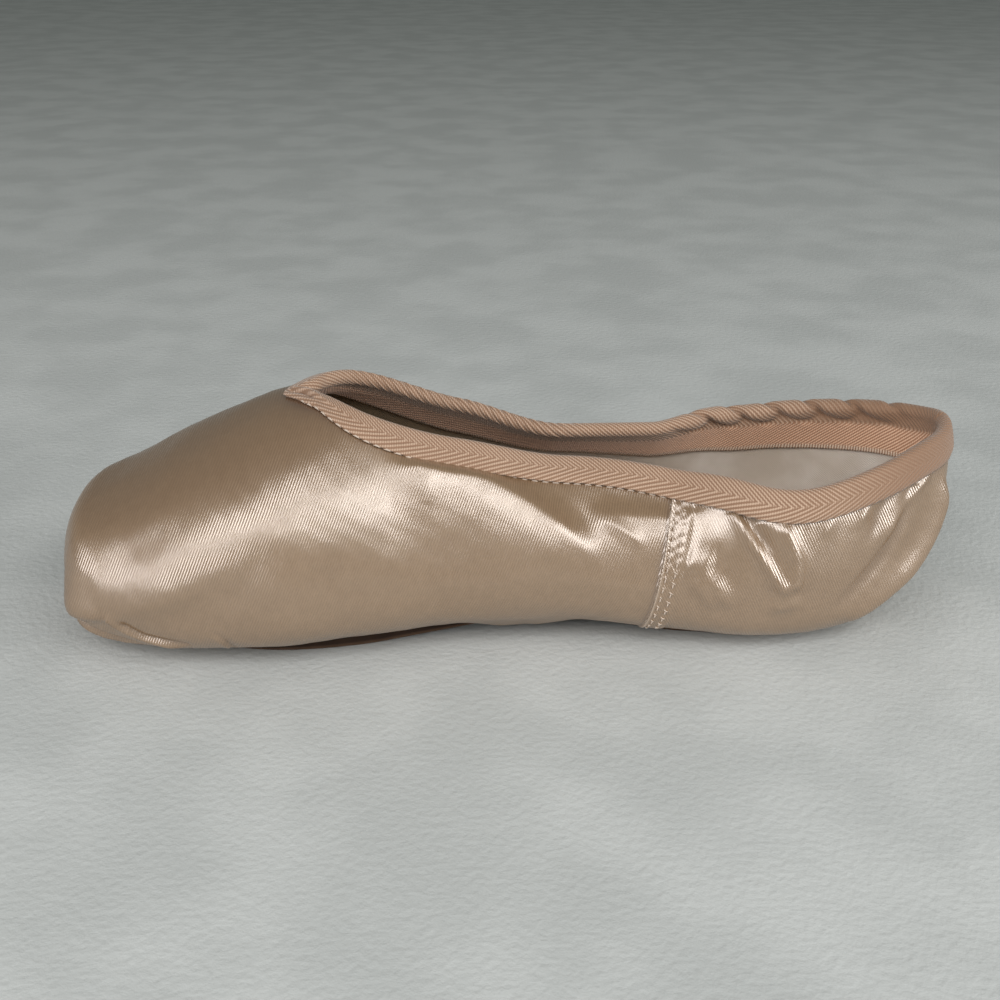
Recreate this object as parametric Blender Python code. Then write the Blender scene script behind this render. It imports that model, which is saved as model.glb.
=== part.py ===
"""Pointe shoe: satin upper on a shaped last, taped collar, leather outsole and insole.

Frame: metres, +Z up, the toe points to -X and the heel to +X, the floor is Z = 0.
The shoe stands empty on the flat spots of its outsole.
"""
import bmesh
import bpy
import numpy as np

# Driving sizes
LENGTH = 0.2314          # platform to the back of the heel
BALL_WIDTH = 0.0794      # widest girth of the box
INSTEP_HEIGHT = 0.0662   # top of the vamp just behind the throat
TOE_ROUND = 0.0105       # depth of the rounding round the platform
TOE_POWER = 2.47         # how flat the platform is
HEEL_ROUND = 0.0445      # depth of the rounding of the heel
HEEL_PLAN_POWER = 1.85   # fullness of the heel seen from above
HEEL_SIDE_POWER = 2.42   # fullness of the heel seen from the side
BOX_WALL = 0.0030        # stiffened toe box
QUARTER_WALL = 0.0017    # satin and lining at the sides
COUNTER_WALL = 0.0021    # heel counter
FLOOR_WALL = 0.0015      # margin turned in over the sole
EDGE_WALL = 0.0015       # satin edge inside the tape
SEAM_STEP = 0.00045      # height of the turned allowance behind each side seam
SEAM_WIDTH = 0.0050      # width of that allowance
SEAM_SLANT = 0.0085      # how far the side seam leans forward towards the sole
SEAM_REACH = 0.0300      # how far in front and behind the lean of the seam spreads
SEAM_EDGE = 0.0006       # width of the step at the edge of that allowance
SEAM_FOOT = 0.0045       # height under which there is no step
SEAM_FADE = 0.0040       # run in which the step dies away at both its ends
COLUMN_GAP = 0.0022      # least distance from the seam to the next column
FIT_GAP = 0.0003         # clearance between neighbouring pieces
SOLE_GAP = 0.00045       # clearance between upper and outsole
TAPE = 0.0009            # thickness of the binding tape with its cord channel
TAPE_OUTSIDE = 0.0066    # width of tape outside, below the satin edge
TAPE_INSIDE = 0.0110     # width of tape inside, below the satin edge
SOLE_WIDTH = 0.0440      # outsole across the ball
SOCK = 0.0022            # thickness of the insole
MARGIN = 0.0052          # how far the outsole covers the turned-in satin
ARCH_LIFT = 0.0024       # outsole off the floor under the arch
SOLE_BEVEL = 0.0006      # width of the bevel round the outsole
SOLE_EDGE = 0.0004       # height of that bevel
FILLER_GAP = 0.0005      # filler of the insole in from the turned-in edge
FILLER_LIFT = 0.0001     # filler off the underside of the last

ORIGIN_STATION = 0.50149 # station over the origin, midway between the extreme ends

HALF_BALL = BALL_WIDTH / 2

# Sections of the last from platform to heel. Station is a share of LENGTH; half width is a
# share of HALF_BALL; widest, floor and crown are heights as shares of INSTEP_HEIGHT; the
# last two are the powers of the upper and the lower half of the section.
SECTIONS = np.array([
    # station, half width, widest, floor, crown, top power, bottom power
    (0.000, 0.530, 0.290, 0.0754, 0.554, 2.00, 3.15),
    (0.066, 0.785, 0.301, 0.0480, 0.633, 2.34, 3.28),
    (0.152, 0.952, 0.314, 0.0400, 0.785, 2.24, 3.12),
    (0.247, 1.000, 0.333, 0.0430, 0.926, 2.09, 2.90),
    (0.334, 0.929, 0.344, 0.0520, 0.999, 1.89, 2.72),
    (0.446, 0.825, 0.354, 0.0684, 0.931, 1.56, 2.57),
    (0.563, 0.777, 0.347, 0.0684, 0.789, 1.52, 2.59),
    (0.671, 0.793, 0.311, 0.0450, 0.808, 1.60, 2.98),
    (0.766, 0.842, 0.292, 0.0370, 0.986, 1.80, 3.50),
    (0.865, 0.796, 0.343, 0.0360, 1.066, 1.86, 3.59),
    (1.000, 0.683, 0.600, 0.0430, 1.174, 2.16, 2.57),
])

# Edge of the satin round the opening, from throat to heel. Station and half width as above,
# height as a share of INSTEP_HEIGHT, sag as the part of the height that differs between the
# two sides because the quarters have relaxed.
COLLAR = np.array([
    # station, half width, height, sag
    (0.2790, 0.000, 0.960, 0.000),
    (0.2860, 0.120, 0.957, 0.000),
    (0.3060, 0.245, 0.945, 0.000),
    (0.3370, 0.358, 0.918, 0.000),
    (0.3800, 0.398, 0.870, 0.000),
    (0.4330, 0.378, 0.817, 0.000),
    (0.4980, 0.335, 0.763, 0.000),
    (0.5630, 0.292, 0.718, 0.000),
    (0.6060, 0.308, 0.700, 0.000),
    (0.6490, 0.366, 0.693, 0.000),
    (0.6920, 0.455, 0.693, 0.006),
    (0.7350, 0.572, 0.693, 0.014),
    (0.7790, 0.666, 0.689, 0.026),
    (0.8220, 0.664, 0.696, 0.034),
    (0.8650, 0.600, 0.714, 0.026),
    (0.9080, 0.508, 0.741, 0.012),
    (0.9510, 0.365, 0.770, 0.000),
    (0.9830, 0.180, 0.788, 0.000),
    (0.9890, 0.000, 0.793, 0.000),
])

# Outline of the outsole from tip to heel: station, and half width as a share of half
# SOLE_WIDTH.
SOLE_OUTLINE = np.array([
    # station, half width
    (0.1170, 0.00),
    (0.1240, 0.34),
    (0.1450, 0.64),
    (0.1800, 0.87),
    (0.2330, 1.00),
    (0.3000, 0.97),
    (0.3800, 0.80),
    (0.4700, 0.61),
    (0.5400, 0.56),
    (0.6200, 0.60),
    (0.7000, 0.72),
    (0.7700, 0.80),
    (0.8300, 0.77),
    (0.8750, 0.62),
    (0.8980, 0.34),
    (0.9050, 0.00),
])

# Underside of the outsole: station, and lift off the floor as a share of ARCH_LIFT. The two
# flat spots are the runs of zero.
SOLE_LIFT = np.array([
    # station, lift
    (0.117, 0.50),
    (0.150, 0.12),
    (0.170, 0.00),
    (0.330, 0.00),
    (0.400, 0.38),
    (0.500, 1.00),
    (0.580, 0.92),
    (0.650, 0.29),
    (0.690, 0.00),
    (0.860, 0.00),
    (0.880, 0.08),
    (0.905, 0.58),
])

# Medial spine from which the columns of the upper fan out.
TOE_CENTRE = 0.232       # station of its front end
HEEL_CENTRE = 0.845      # station of its back end
SPINE_LEVEL = 0.38       # its height as a share of INSTEP_HEIGHT
TOE_COLUMNS = 10         # columns in each quarter turn of the toe
SIDE_COLUMNS = 23        # columns along each side, without those at the seam
HEEL_COLUMNS = 9         # columns in each quarter turn of the heel
SEAM_STATION = 0.676     # side seam at the collar
THROAT_ARC = 0.0085      # length of satin edge shared by one quarter turn of the toe

# Rows of the upper from the turned-in edge to the tape, as shares of each column's length
# below the tape, and rows under the tape as shares of the tape's width.
OUTER_ROWS = np.array([
    0.0, 0.045, 0.09, 0.135, 0.18, 0.225, 0.275, 0.33, 0.39, 0.45, 0.51, 0.57, 0.63, 0.70,
    0.775, 0.85, 0.925, 1.0])
INNER_ROWS = np.array([0.0, 0.07, 0.14, 0.20, 0.29, 0.40, 0.52, 0.64, 0.76, 0.88, 1.0])
TAPE_ROWS = np.array([1.0, 0.5, 0.0])
INSOLE_ROWS = 4          # rows of the inside that the insole lies on


def smooth_table(keys, values, at):
    """Monotone cubic through a table, flat outside its ends."""
    keys = np.asarray(keys, float)
    values = np.asarray(values, float)
    step = np.diff(keys)
    slope = np.diff(values) / step
    tangent = np.zeros(len(keys))
    left = slope[:-1]
    right = slope[1:]
    same = left * right > 0
    a = 2 * step[1:] + step[:-1]
    b = step[1:] + 2 * step[:-1]
    safe_left = np.where(same, left, 1.0)
    safe_right = np.where(same, right, 1.0)
    tangent[1:-1] = np.where(same, (a + b) / (a / safe_left + b / safe_right), 0.0)
    tangent[0] = slope[0]
    tangent[-1] = slope[-1]
    at = np.clip(at, keys[0], keys[-1])
    i = np.clip(np.searchsorted(keys, at, side="right") - 1, 0, len(step) - 1)
    h = step[i]
    u = (at - keys[i]) / h
    return (
        values[i] * (1 + 2 * u) * (1 - u) ** 2
        + values[i + 1] * u * u * (3 - 2 * u)
        + h * tangent[i] * u * (1 - u) ** 2
        - h * tangent[i + 1] * u * u * (1 - u)
    )


def ease(value, low, high):
    """0 below low, 1 above high, smooth between."""
    u = np.clip((value - low) / (high - low), 0, 1)
    return u * u * (3 - 2 * u)


def along(station):
    """X of a share of the length."""
    return (np.asarray(station) - ORIGIN_STATION) * LENGTH


def station_of(x):
    """Share of the length at x."""
    return x / LENGTH + ORIGIN_STATION


def section(x):
    """Half width, widest height, reach up, reach down and both powers at x."""
    station = station_of(x)
    half, widest, floor, crown, top, bottom = (
        smooth_table(SECTIONS[:, 0], SECTIONS[:, k], station) for k in range(1, 7))
    toe = np.clip(1 - station * LENGTH / TOE_ROUND, 0, 1)
    toe = np.clip(1 - toe ** TOE_POWER, 1e-9, None) ** (1 / TOE_POWER)
    back = np.clip(1 - (1 - station) * LENGTH / HEEL_ROUND, 0, 1)
    plan = np.clip(1 - back ** HEEL_PLAN_POWER, 1e-9, None) ** (1 / HEEL_PLAN_POWER)
    side = np.clip(1 - back ** HEEL_SIDE_POWER, 1e-9, None) ** (1 / HEEL_SIDE_POWER)
    half = half * HALF_BALL * toe * plan
    up = (crown - widest) * INSTEP_HEIGHT * toe * side
    down = (widest - floor) * INSTEP_HEIGHT * toe * side
    return half, widest * INSTEP_HEIGHT, up, down, top, bottom


def outside(p):
    """Signed measure of the last's surface: negative inside, positive outside."""
    x = p[..., 0]
    half, widest, up, down, top, bottom = section(x)
    over = p[..., 2] - widest
    power = np.where(over > 0, top, bottom)
    reach = np.where(over > 0, up, down)
    ratio = (np.abs(p[..., 1]) / half) ** power + (np.abs(over) / reach) ** power
    beyond = np.maximum(np.abs(station_of(x) - 0.5) - 0.5, 0) * LENGTH * 1e3
    return np.clip(ratio, 0, 1e6) ** (1 / power) - 1 + beyond


def hit(start, direction):
    """Point where a ray from inside the last leaves it."""
    near = np.zeros(direction.shape[:-1])
    far = np.full(direction.shape[:-1], LENGTH)
    for _ in range(46):
        middle = (near + far) / 2
        out = outside(start + direction * middle[..., None]) > 0
        far = np.where(out, middle, far)
        near = np.where(out, near, middle)
    return start + direction * near[..., None]


def unit(v):
    return v / np.maximum(np.linalg.norm(v, axis=-1, keepdims=True), 1e-12)


def normal_at(p):
    """Outward unit normal of the last."""
    d = 4e-5
    core = np.stack([p[..., 0] / 2, p[..., 1] * 0, p[..., 2] * 0 + SPINE_LEVEL * INSTEP_HEIGHT], -1)
    inward = unit(core - p)
    q = p + inward * 5e-5
    grad = np.stack([outside(q + d * e) - outside(q - d * e) for e in np.eye(3)], -1)
    return unit(grad)


def closed_spline(points, count):
    """Smooth closed curve through points, as count points evenly spaced."""
    points = np.asarray(points, float)
    n = len(points)
    h = np.linalg.norm(np.roll(points, -1, 0) - points, axis=1)
    before = np.roll(h, 1)
    matrix = np.zeros((n, n))
    index = np.arange(n)
    matrix[index, index] = 2 * (before + h)
    matrix[index, (index + 1) % n] += h
    matrix[index, (index - 1) % n] += before
    rise = (np.roll(points, -1, 0) - points) / h[:, None]
    bend = np.linalg.solve(matrix, 6 * (rise - np.roll(rise, 1, 0)))
    u = np.linspace(0, 1, 60, endpoint=False)[None, :, None]
    a = points[:, None]
    b = np.roll(points, -1, 0)[:, None]
    ma = bend[:, None]
    mb = np.roll(bend, -1, 0)[:, None]
    hh = h[:, None, None]
    curve = (a * (1 - u) + b * u
             + hh * hh / 6 * (((1 - u) ** 3 - (1 - u)) * ma + (u ** 3 - u) * mb))
    curve = curve.reshape(-1, 3)
    length = np.concatenate([[0], np.cumsum(np.linalg.norm(
        np.roll(curve, -1, 0) - curve, axis=1))])
    wrapped = np.vstack([curve, curve[:1]])
    want = np.linspace(0, length[-1], count, endpoint=False)
    return np.stack([np.interp(want, length, wrapped[:, k]) for k in range(3)], -1)


def both_sides(half_points):
    """Closed loop from a half outline that starts and ends on the middle line."""
    mirrored = half_points[1:-1][::-1] * np.array([1, -1, 1])
    return np.vstack([half_points, mirrored])


def collar_targets(side):
    """Satin edge of one side, throat to heel; side is -1 near, 1 far."""
    height = COLLAR[:, 2] + side * COLLAR[:, 3]
    return np.stack([
        along(COLLAR[:, 0]), side * COLLAR[:, 1] * HALF_BALL, height * INSTEP_HEIGHT], -1)


def sole_loop(inset):
    """Closed plan outline of the outsole moved in by inset; dense, starts at the tip."""
    half = np.stack([
        along(SOLE_OUTLINE[:, 0]), SOLE_OUTLINE[:, 1] * SOLE_WIDTH / 2,
        SOLE_OUTLINE[:, 0] * 0], -1)
    loop = closed_spline(both_sides(half), 1440)
    if inset:
        ahead = np.roll(loop, -1, 0) - np.roll(loop, 1, 0)
        out = unit(np.stack([-ahead[:, 1], ahead[:, 0], ahead[:, 2] * 0], -1))
        loop = loop - out * inset
    return loop


def half_curve(loop, side):
    """The half of a closed loop on one side, front to back, with its arc length."""
    n = len(loop)
    half = loop[: n // 2 + 1]
    if np.mean(half[:, 1]) * side < 0:
        half = np.vstack([loop[n // 2:], loop[:1]])[::-1]
    length = np.concatenate([[0], np.cumsum(np.linalg.norm(np.diff(half, axis=0), axis=1))])
    return half, length


def columns():
    """Front to back order of the columns of one side: spine x, heading and seam share."""
    toe_x = along(TOE_CENTRE)
    heel_x = along(HEEL_CENTRE)
    side = np.linspace(toe_x, heel_x, SIDE_COLUMNS + 2)[1:-1]
    seam = along(SEAM_STATION)
    band = seam + np.array([
        -SEAM_EDGE / 2, SEAM_EDGE / 2, SEAM_WIDTH, SEAM_WIDTH + SEAM_EDGE])
    side = side[(side < band[0] - COLUMN_GAP) | (side > band[-1] + COLUMN_GAP)]
    side = np.sort(np.concatenate([side, band, [seam + SEAM_WIDTH / 2]]))
    raised = (side > band[0] + 1e-6) & (side < band[-1] - 1e-6)
    toe_turn = np.linspace(180, 90, TOE_COLUMNS + 1)
    heel_turn = np.linspace(90, 0, HEEL_COLUMNS + 1)
    x = np.concatenate([np.full(len(toe_turn), toe_x), side, np.full(len(heel_turn), heel_x)])
    turn = np.concatenate([toe_turn, np.full(len(side), 90.0), heel_turn])
    lift = np.concatenate([toe_turn * 0, raised * 1.0, heel_turn * 0])
    return x, np.radians(turn), lift


def matched(half, length, x, turn, slant, throat):
    """Point of a half curve for each column; throat is the arc the toe columns share there."""
    toe_x = along(TOE_CENTRE)
    heel_x = along(HEEL_CENTRE)
    reached = np.maximum.accumulate(half[:, 0])
    last = np.interp(heel_x, reached, length)
    arc = np.interp(x - slant, reached, length)
    first = throat
    if throat == 0:
        first = np.interp(toe_x, reached, length)
    else:
        # The opening starts behind the front of the spine: the next columns catch up.
        join = throat * 3.4
        join_x = np.interp(join, length, half[:, 0])
        catching_up = np.clip((x - toe_x) / (join_x - toe_x), 0, 1) ** 1.25
        arc = np.where(x < join_x, throat + (join - throat) * catching_up, arc)
    at_toe = x <= toe_x + 1e-9
    at_heel = x >= heel_x - 1e-9
    quarter = np.pi / 2
    arc = np.where(at_toe, first * (np.pi - turn) / quarter, arc)
    arc = np.where(at_heel, last + (length[-1] - last) * (quarter - turn) / quarter, arc)
    return np.stack([np.interp(arc, length, half[:, k]) for k in range(3)], -1)


def all_columns():
    """Every column of the upper: start, heading, lower and upper targets, seam share."""
    x, turn, lift = columns()
    seam = along(SEAM_STATION)
    slant = SEAM_SLANT * np.exp(-((x - seam - SEAM_WIDTH * 0.4) / SEAM_REACH) ** 2)
    collar = closed_spline(np.vstack([
        collar_targets(-1), collar_targets(1)[1:-1][::-1]]), 1440)
    inner_sole = sole_loop(MARGIN)
    parts = []
    for side in (-1, 1):
        foot_half, foot_length = half_curve(inner_sole, side)
        rim_half, rim_length = half_curve(collar, side)
        foot = matched(foot_half, foot_length, x, turn, slant, 0)
        half, widest, up, down, top, bottom = section(foot[:, 0])
        ratio = np.clip(np.abs(foot[:, 1]) / half, 0, 0.999) ** bottom
        foot[:, 2] = widest - down * (1 - ratio) ** (1 / bottom)
        rim = matched(rim_half, rim_length, x, turn, slant * 0, THROAT_ARC)
        start = np.stack([x - slant * 0.5, x * 0, x * 0 + SPINE_LEVEL * INSTEP_HEIGHT], -1)
        heading = np.stack([np.cos(turn), side * np.sin(turn), turn * 0], -1)
        parts.append((start, heading, foot, rim, lift))
    near, far = parts
    return tuple(np.concatenate([n, f[1:-1][::-1]]) for n, f in zip(near, far))


def upper_surface():
    """Dense columns on the last: points, arc lengths from the collar, seam share."""
    start, heading, foot, rim, lift = all_columns()
    low = unit(foot - start)
    high = unit(rim - start)
    t = np.linspace(0, 1, 181)[None, :, None]
    fan = (1 - t) ** 2 * low[:, None] + 2 * t * (1 - t) * heading[:, None] + t * t * high[:, None]
    points = hit(start[:, None] + fan * 0, unit(fan))
    step = np.linalg.norm(np.diff(points, axis=1), axis=2)
    arc = np.concatenate([np.zeros((len(points), 1)), np.cumsum(step, axis=1)], axis=1)
    return points, arc, lift


def pick(points, arc, where):
    """Points of each column at the given arc lengths, one row of lengths per column."""
    out = np.empty(where.shape + (3,))
    for i in range(len(points)):
        for k in range(3):
            out[i, :, k] = np.interp(where[i], arc[i], points[i, :, k])
    return out


def wall_thickness(points, rows):
    """Wall of the upper: stiff box, thinner quarters, counter, thin edges."""
    x = points[..., 0]
    box = 1 - ease(x, along(0.27), along(0.42))
    counter = ease(x, along(0.76), along(0.86))
    wall = QUARTER_WALL + (BOX_WALL - QUARTER_WALL) * box + (COUNTER_WALL - QUARTER_WALL) * counter
    wall = FLOOR_WALL + (wall - FLOOR_WALL) * ease(rows, 0.02, 0.22)
    return EDGE_WALL + (wall - EDGE_WALL) * ease(1 - rows, 0.0, 0.16)


def raise_seam(points, normals, lift, below_edge):
    """Outer wall stepped out over the seam allowance, fading under the shoe and at the rim."""
    fade = ease(points[..., 2], SEAM_FOOT, SEAM_FOOT + SEAM_FADE) * ease(below_edge, 0.0, SEAM_FADE)
    return points + normals * (SEAM_STEP * lift[:, None] * fade)[..., None]


def ring_solid(profile):
    """Closed body from one closed profile per column: shape columns, profile points, 3."""
    count, rows = profile.shape[:2]
    faces = []
    for i in range(count):
        j = (i + 1) % count
        for r in range(rows):
            s = (r + 1) % rows
            faces.append((i * rows + r, i * rows + s, j * rows + s, j * rows + r))
    return profile.reshape(-1, 3), faces


def loft_loops(loops):
    """Closed body from a run of closed loops whose first and last lie on the middle line."""
    stack = np.stack(loops)
    rows, count = stack.shape[:2]
    verts = stack.reshape(-1, 3)
    faces = []
    for r in range(rows - 1):
        for i in range(count):
            j = (i + 1) % count
            faces.append((r * count + i, r * count + j, (r + 1) * count + j, (r + 1) * count + i))
    return verts, faces


def add_mesh(name, verts, faces, material, weld=0.0):
    """One closed body, faces outwards, with its own material."""
    mesh = bpy.data.meshes.new(name)
    work = bmesh.new()
    points = [work.verts.new(tuple(map(float, v))) for v in verts]
    for face in faces:
        work.faces.new([points[k] for k in face])
    if weld:
        bmesh.ops.remove_doubles(work, verts=work.verts, dist=weld)
        bmesh.ops.dissolve_degenerate(work, edges=work.edges, dist=weld / 2)
    bmesh.ops.triangulate(work, faces=work.faces)
    bmesh.ops.recalc_face_normals(work, faces=work.faces)
    if work.calc_volume(signed=True) < 0:
        bmesh.ops.reverse_faces(work, faces=work.faces)
    work.to_mesh(mesh)
    work.free()
    mesh.materials.append(material)
    item = bpy.data.objects.new(name, mesh)
    bpy.context.scene.collection.objects.link(item)
    return item


def surface_material(name, colour, roughness, sheen):
    """Plain principled surface for one piece."""
    material = bpy.data.materials.new(name)
    material.use_nodes = True
    shader = material.node_tree.nodes["Principled BSDF"]
    shader.inputs["Base Color"].default_value = (*colour, 1.0)
    shader.inputs["Roughness"].default_value = roughness
    shader.inputs["Sheen Weight"].default_value = sheen
    return material


def tape_widths(points):
    """Width of tape outside and inside at each column, narrower round the throat."""
    near_throat = np.exp(-(np.linalg.norm(
        points[:, -1] - points[0, -1], axis=1) / (1.3 * THROAT_ARC)) ** 2)
    return TAPE_OUTSIDE * (1 - 0.515 * near_throat), TAPE_INSIDE * (1 - 0.364 * near_throat)


def outer_arcs(points, arc):
    """Arc lengths of the outside rows of every column."""
    total = arc[:, -1:]
    wide = tape_widths(points)[0][:, None]
    return np.hstack([
        (total - wide) * OUTER_ROWS[None, :-1], total - wide * TAPE_ROWS[None]])


def inner_arcs(points, arc):
    """Arc lengths of the inside rows of every column."""
    total = arc[:, -1:]
    wide = tape_widths(points)[1][:, None]
    return np.hstack([
        (total - wide) * INNER_ROWS[None, :-1], total - wide * TAPE_ROWS[None]])


def outer_wall(points, arc, at, lift):
    """Points and normals of the outside at the given arc lengths."""
    base = pick(points, arc, at)
    normals = normal_at(base)
    return raise_seam(base, normals, lift, arc[:, -1:] - at), normals


def inner_wall(points, arc, at):
    """Points and normals of the inside at the given arc lengths."""
    base = pick(points, arc, at)
    normals = normal_at(base)
    wall = wall_thickness(base, at / arc[:, -1:])
    return base - normals * wall[..., None], normals


def build_upper(points, arc, lift):
    """Hollow satin body, open at the collar and underneath."""
    outer = outer_wall(points, arc, outer_arcs(points, arc), lift)[0]
    inner = inner_wall(points, arc, inner_arcs(points, arc))[0]
    profile = np.concatenate([outer, inner[:, ::-1]], axis=1)
    verts, faces = ring_solid(profile)
    satin = surface_material("peach_satin", (0.62, 0.40, 0.27), 0.38, 0.4)
    return add_mesh("upper", verts, faces, satin)


def build_binding(points, arc, lift):
    """Tape folded over the satin edge, with a rounded rim."""
    legs = len(TAPE_ROWS)
    out_base, out_normal = outer_wall(points, arc, outer_arcs(points, arc)[:, -legs:], lift)
    in_base, in_normal = inner_wall(points, arc, inner_arcs(points, arc)[:, -legs:])
    in_base = in_base[:, ::-1]
    in_normal = in_normal[:, ::-1]
    below = pick(points, arc, arc[:, -1:] - TAPE_OUTSIDE * 0.3)[:, 0]
    upward = unit(points[:, -1] - below)
    middle = (out_base[:, -1] + in_base[:, 0]) / 2
    half_wall = np.linalg.norm(out_base[:, -1] - in_base[:, 0], axis=1) / 2

    def cap(reach, angles):
        a = np.radians(angles)[None, :, None]
        r = (half_wall + reach)[:, None, None]
        away = out_normal[:, -1][:, None]
        return middle[:, None] + r * (np.cos(a) * away + np.sin(a) * upward[:, None])

    edge = np.array([0.55, 1.0, 1.0])[None, :, None] * TAPE + FIT_GAP
    profile = np.concatenate([
        out_base + out_normal * edge,
        cap(FIT_GAP + TAPE, [45, 90, 135]),
        in_base - in_normal * edge[:, ::-1],
        (in_base - in_normal * FIT_GAP)[:, ::-1],
        cap(FIT_GAP, [90]),
        (out_base + out_normal * FIT_GAP)[:, ::-1]], axis=1)
    verts, faces = ring_solid(profile)
    tape = surface_material("peach_twill_tape", (0.50, 0.30, 0.21), 0.75, 0.2)
    return add_mesh("collar_binding", verts, faces, tape)


def underside(x, y):
    """Height of the outside of the last's floor at a plan point."""
    half, widest, up, down, top, bottom = section(x)
    ratio = np.clip(np.abs(y) / half, 0, 0.999) ** bottom
    return widest - down * (1 - ratio) ** (1 / bottom)


def fewer(loop, count):
    """Every so many points of a dense loop."""
    step = len(loop) // count
    return loop[::step]


def to_middle(loop, share):
    """Loop drawn in towards its own middle line by a share of its width."""
    ends = (loop[:, 0].min(), loop[:, 0].max())
    reach = loop[:, 1].max()
    centre = np.clip(loop[:, 0], ends[0] + reach * 0.55, ends[1] - reach * 0.45)
    out = loop.copy()
    out[:, 0] += (centre - loop[:, 0]) * share
    out[:, 1] *= 1 - share
    return out


def build_outsole():
    """Leather outsole: flat at the ball and the heel, lifted at the arch, narrower than the shoe."""
    loop = fewer(sole_loop(0.0), 72)
    bevel = fewer(sole_loop(SOLE_BEVEL), 72)

    def top(ring, drop=0.0):
        out = ring.copy()
        out[:, 2] = underside(ring[:, 0], ring[:, 1]) - SOLE_GAP - drop
        return out

    def bottom(ring, lift=0.0):
        out = ring.copy()
        share = smooth_table(SOLE_LIFT[:, 0], SOLE_LIFT[:, 1], station_of(ring[:, 0]))
        out[:, 2] = share * ARCH_LIFT + lift
        return out

    loops = [
        top(to_middle(loop, 1.0)), top(to_middle(loop, 0.5)), top(bevel), top(loop, SOLE_EDGE),
        bottom(loop, SOLE_EDGE), bottom(bevel), bottom(to_middle(loop, 0.5)),
        bottom(to_middle(loop, 1.0))]
    verts, faces = loft_loops(loops)
    leather = surface_material("brown_sole_leather", (0.13, 0.065, 0.038), 0.55, 0.0)
    return add_mesh("outsole", verts, faces, leather, weld=2e-5)


def build_insole(points, arc):
    """Insole on the turned-in margin, with a lower part that fills the opening between."""
    at = inner_arcs(points, arc)[:, :INSOLE_ROWS]
    inside, normals = inner_wall(points, arc, at)
    floor = inside - normals * FIT_GAP
    thick = SOCK * np.array([1.0, 1.0, 0.9, 0.45])
    roof = floor - normals * thick[None, :, None]
    hole = points[:, 0].copy()
    ahead = np.roll(hole, -1, 0) - np.roll(hole, 1, 0)
    out = unit(np.stack([-ahead[:, 1], ahead[:, 0], ahead[:, 2] * 0], -1))
    out *= np.sign(np.sum(out[:, 1] * hole[:, 1]))
    hole -= out * FILLER_GAP

    def level(ring, height):
        moved = ring.copy()
        moved[:, 2] = underside(ring[:, 0], ring[:, 1]) + height
        return moved

    step = hole.copy()
    step[:, 2] = floor[:, 0, 2]
    high = FLOOR_WALL + FIT_GAP + SOCK
    loops = [level(to_middle(hole, 1.0), FILLER_LIFT), level(hole, FILLER_LIFT), step]
    loops += [floor[:, k] for k in range(INSOLE_ROWS)]
    loops += [roof[:, k] for k in range(INSOLE_ROWS - 1, -1, -1)]
    loops += [level(to_middle(hole, 1.0), high)]
    verts, faces = loft_loops(loops)
    cloth = surface_material("white_insole_cloth", (0.62, 0.58, 0.53), 0.85, 0.2)
    return add_mesh("insole", verts, faces, cloth, weld=2e-5)


def main():
    for item in list(bpy.data.objects):
        bpy.data.objects.remove(item, do_unlink=True)
    points, arc, lift = upper_surface()
    build_upper(points, arc, lift)
    build_binding(points, arc, lift)
    build_outsole()
    build_insole(points, arc)


main()
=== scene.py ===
import math

import bpy
import numpy as np
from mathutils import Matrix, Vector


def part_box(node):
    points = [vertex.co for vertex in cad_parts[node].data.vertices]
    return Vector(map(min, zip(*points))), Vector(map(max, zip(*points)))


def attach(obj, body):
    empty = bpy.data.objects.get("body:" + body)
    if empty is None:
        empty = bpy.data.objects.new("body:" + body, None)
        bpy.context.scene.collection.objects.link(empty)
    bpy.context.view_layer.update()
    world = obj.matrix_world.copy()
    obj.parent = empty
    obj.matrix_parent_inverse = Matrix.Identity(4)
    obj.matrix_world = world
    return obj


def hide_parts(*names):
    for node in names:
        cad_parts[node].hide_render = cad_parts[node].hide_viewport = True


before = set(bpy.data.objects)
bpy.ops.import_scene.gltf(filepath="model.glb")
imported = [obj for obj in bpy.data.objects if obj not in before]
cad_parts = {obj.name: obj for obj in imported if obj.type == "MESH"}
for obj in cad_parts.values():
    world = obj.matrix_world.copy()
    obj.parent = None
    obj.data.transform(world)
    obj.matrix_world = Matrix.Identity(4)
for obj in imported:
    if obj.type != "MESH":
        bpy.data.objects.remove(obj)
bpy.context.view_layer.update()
mm = 0.001

# Sizes of the shoe, read off the frame.
upperLow, upperHigh = (np.array(corner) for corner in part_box("upper"))
soleLow, soleHigh = (np.array(corner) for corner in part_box("outsole"))
shoe = {
    "length": upperHigh[0] - upperLow[0],
    "toeX": upperLow[0],
    "halfBall": (upperHigh[1] - upperLow[1]) / 2,
    "instep": upperHigh[2] / 0.9669,      # the throat is just under the instep
    "soleHalf": (soleHigh[1] - soleLow[1]) / 2,
    "toeRound": 10.5 * mm,
    "toePower": 2.47,
    "heelRound": 44.5 * mm,
    "heelPlanPower": 1.85,
    "heelSidePower": 2.42,
    "boxWall": 3.0 * mm,
    "quarterWall": 1.7 * mm,
    "counterWall": 2.1 * mm,
    "edgeWall": 1.5 * mm,
    "margin": 5.2 * mm,                   # how far the sole covers the turned-in satin
}

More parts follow.
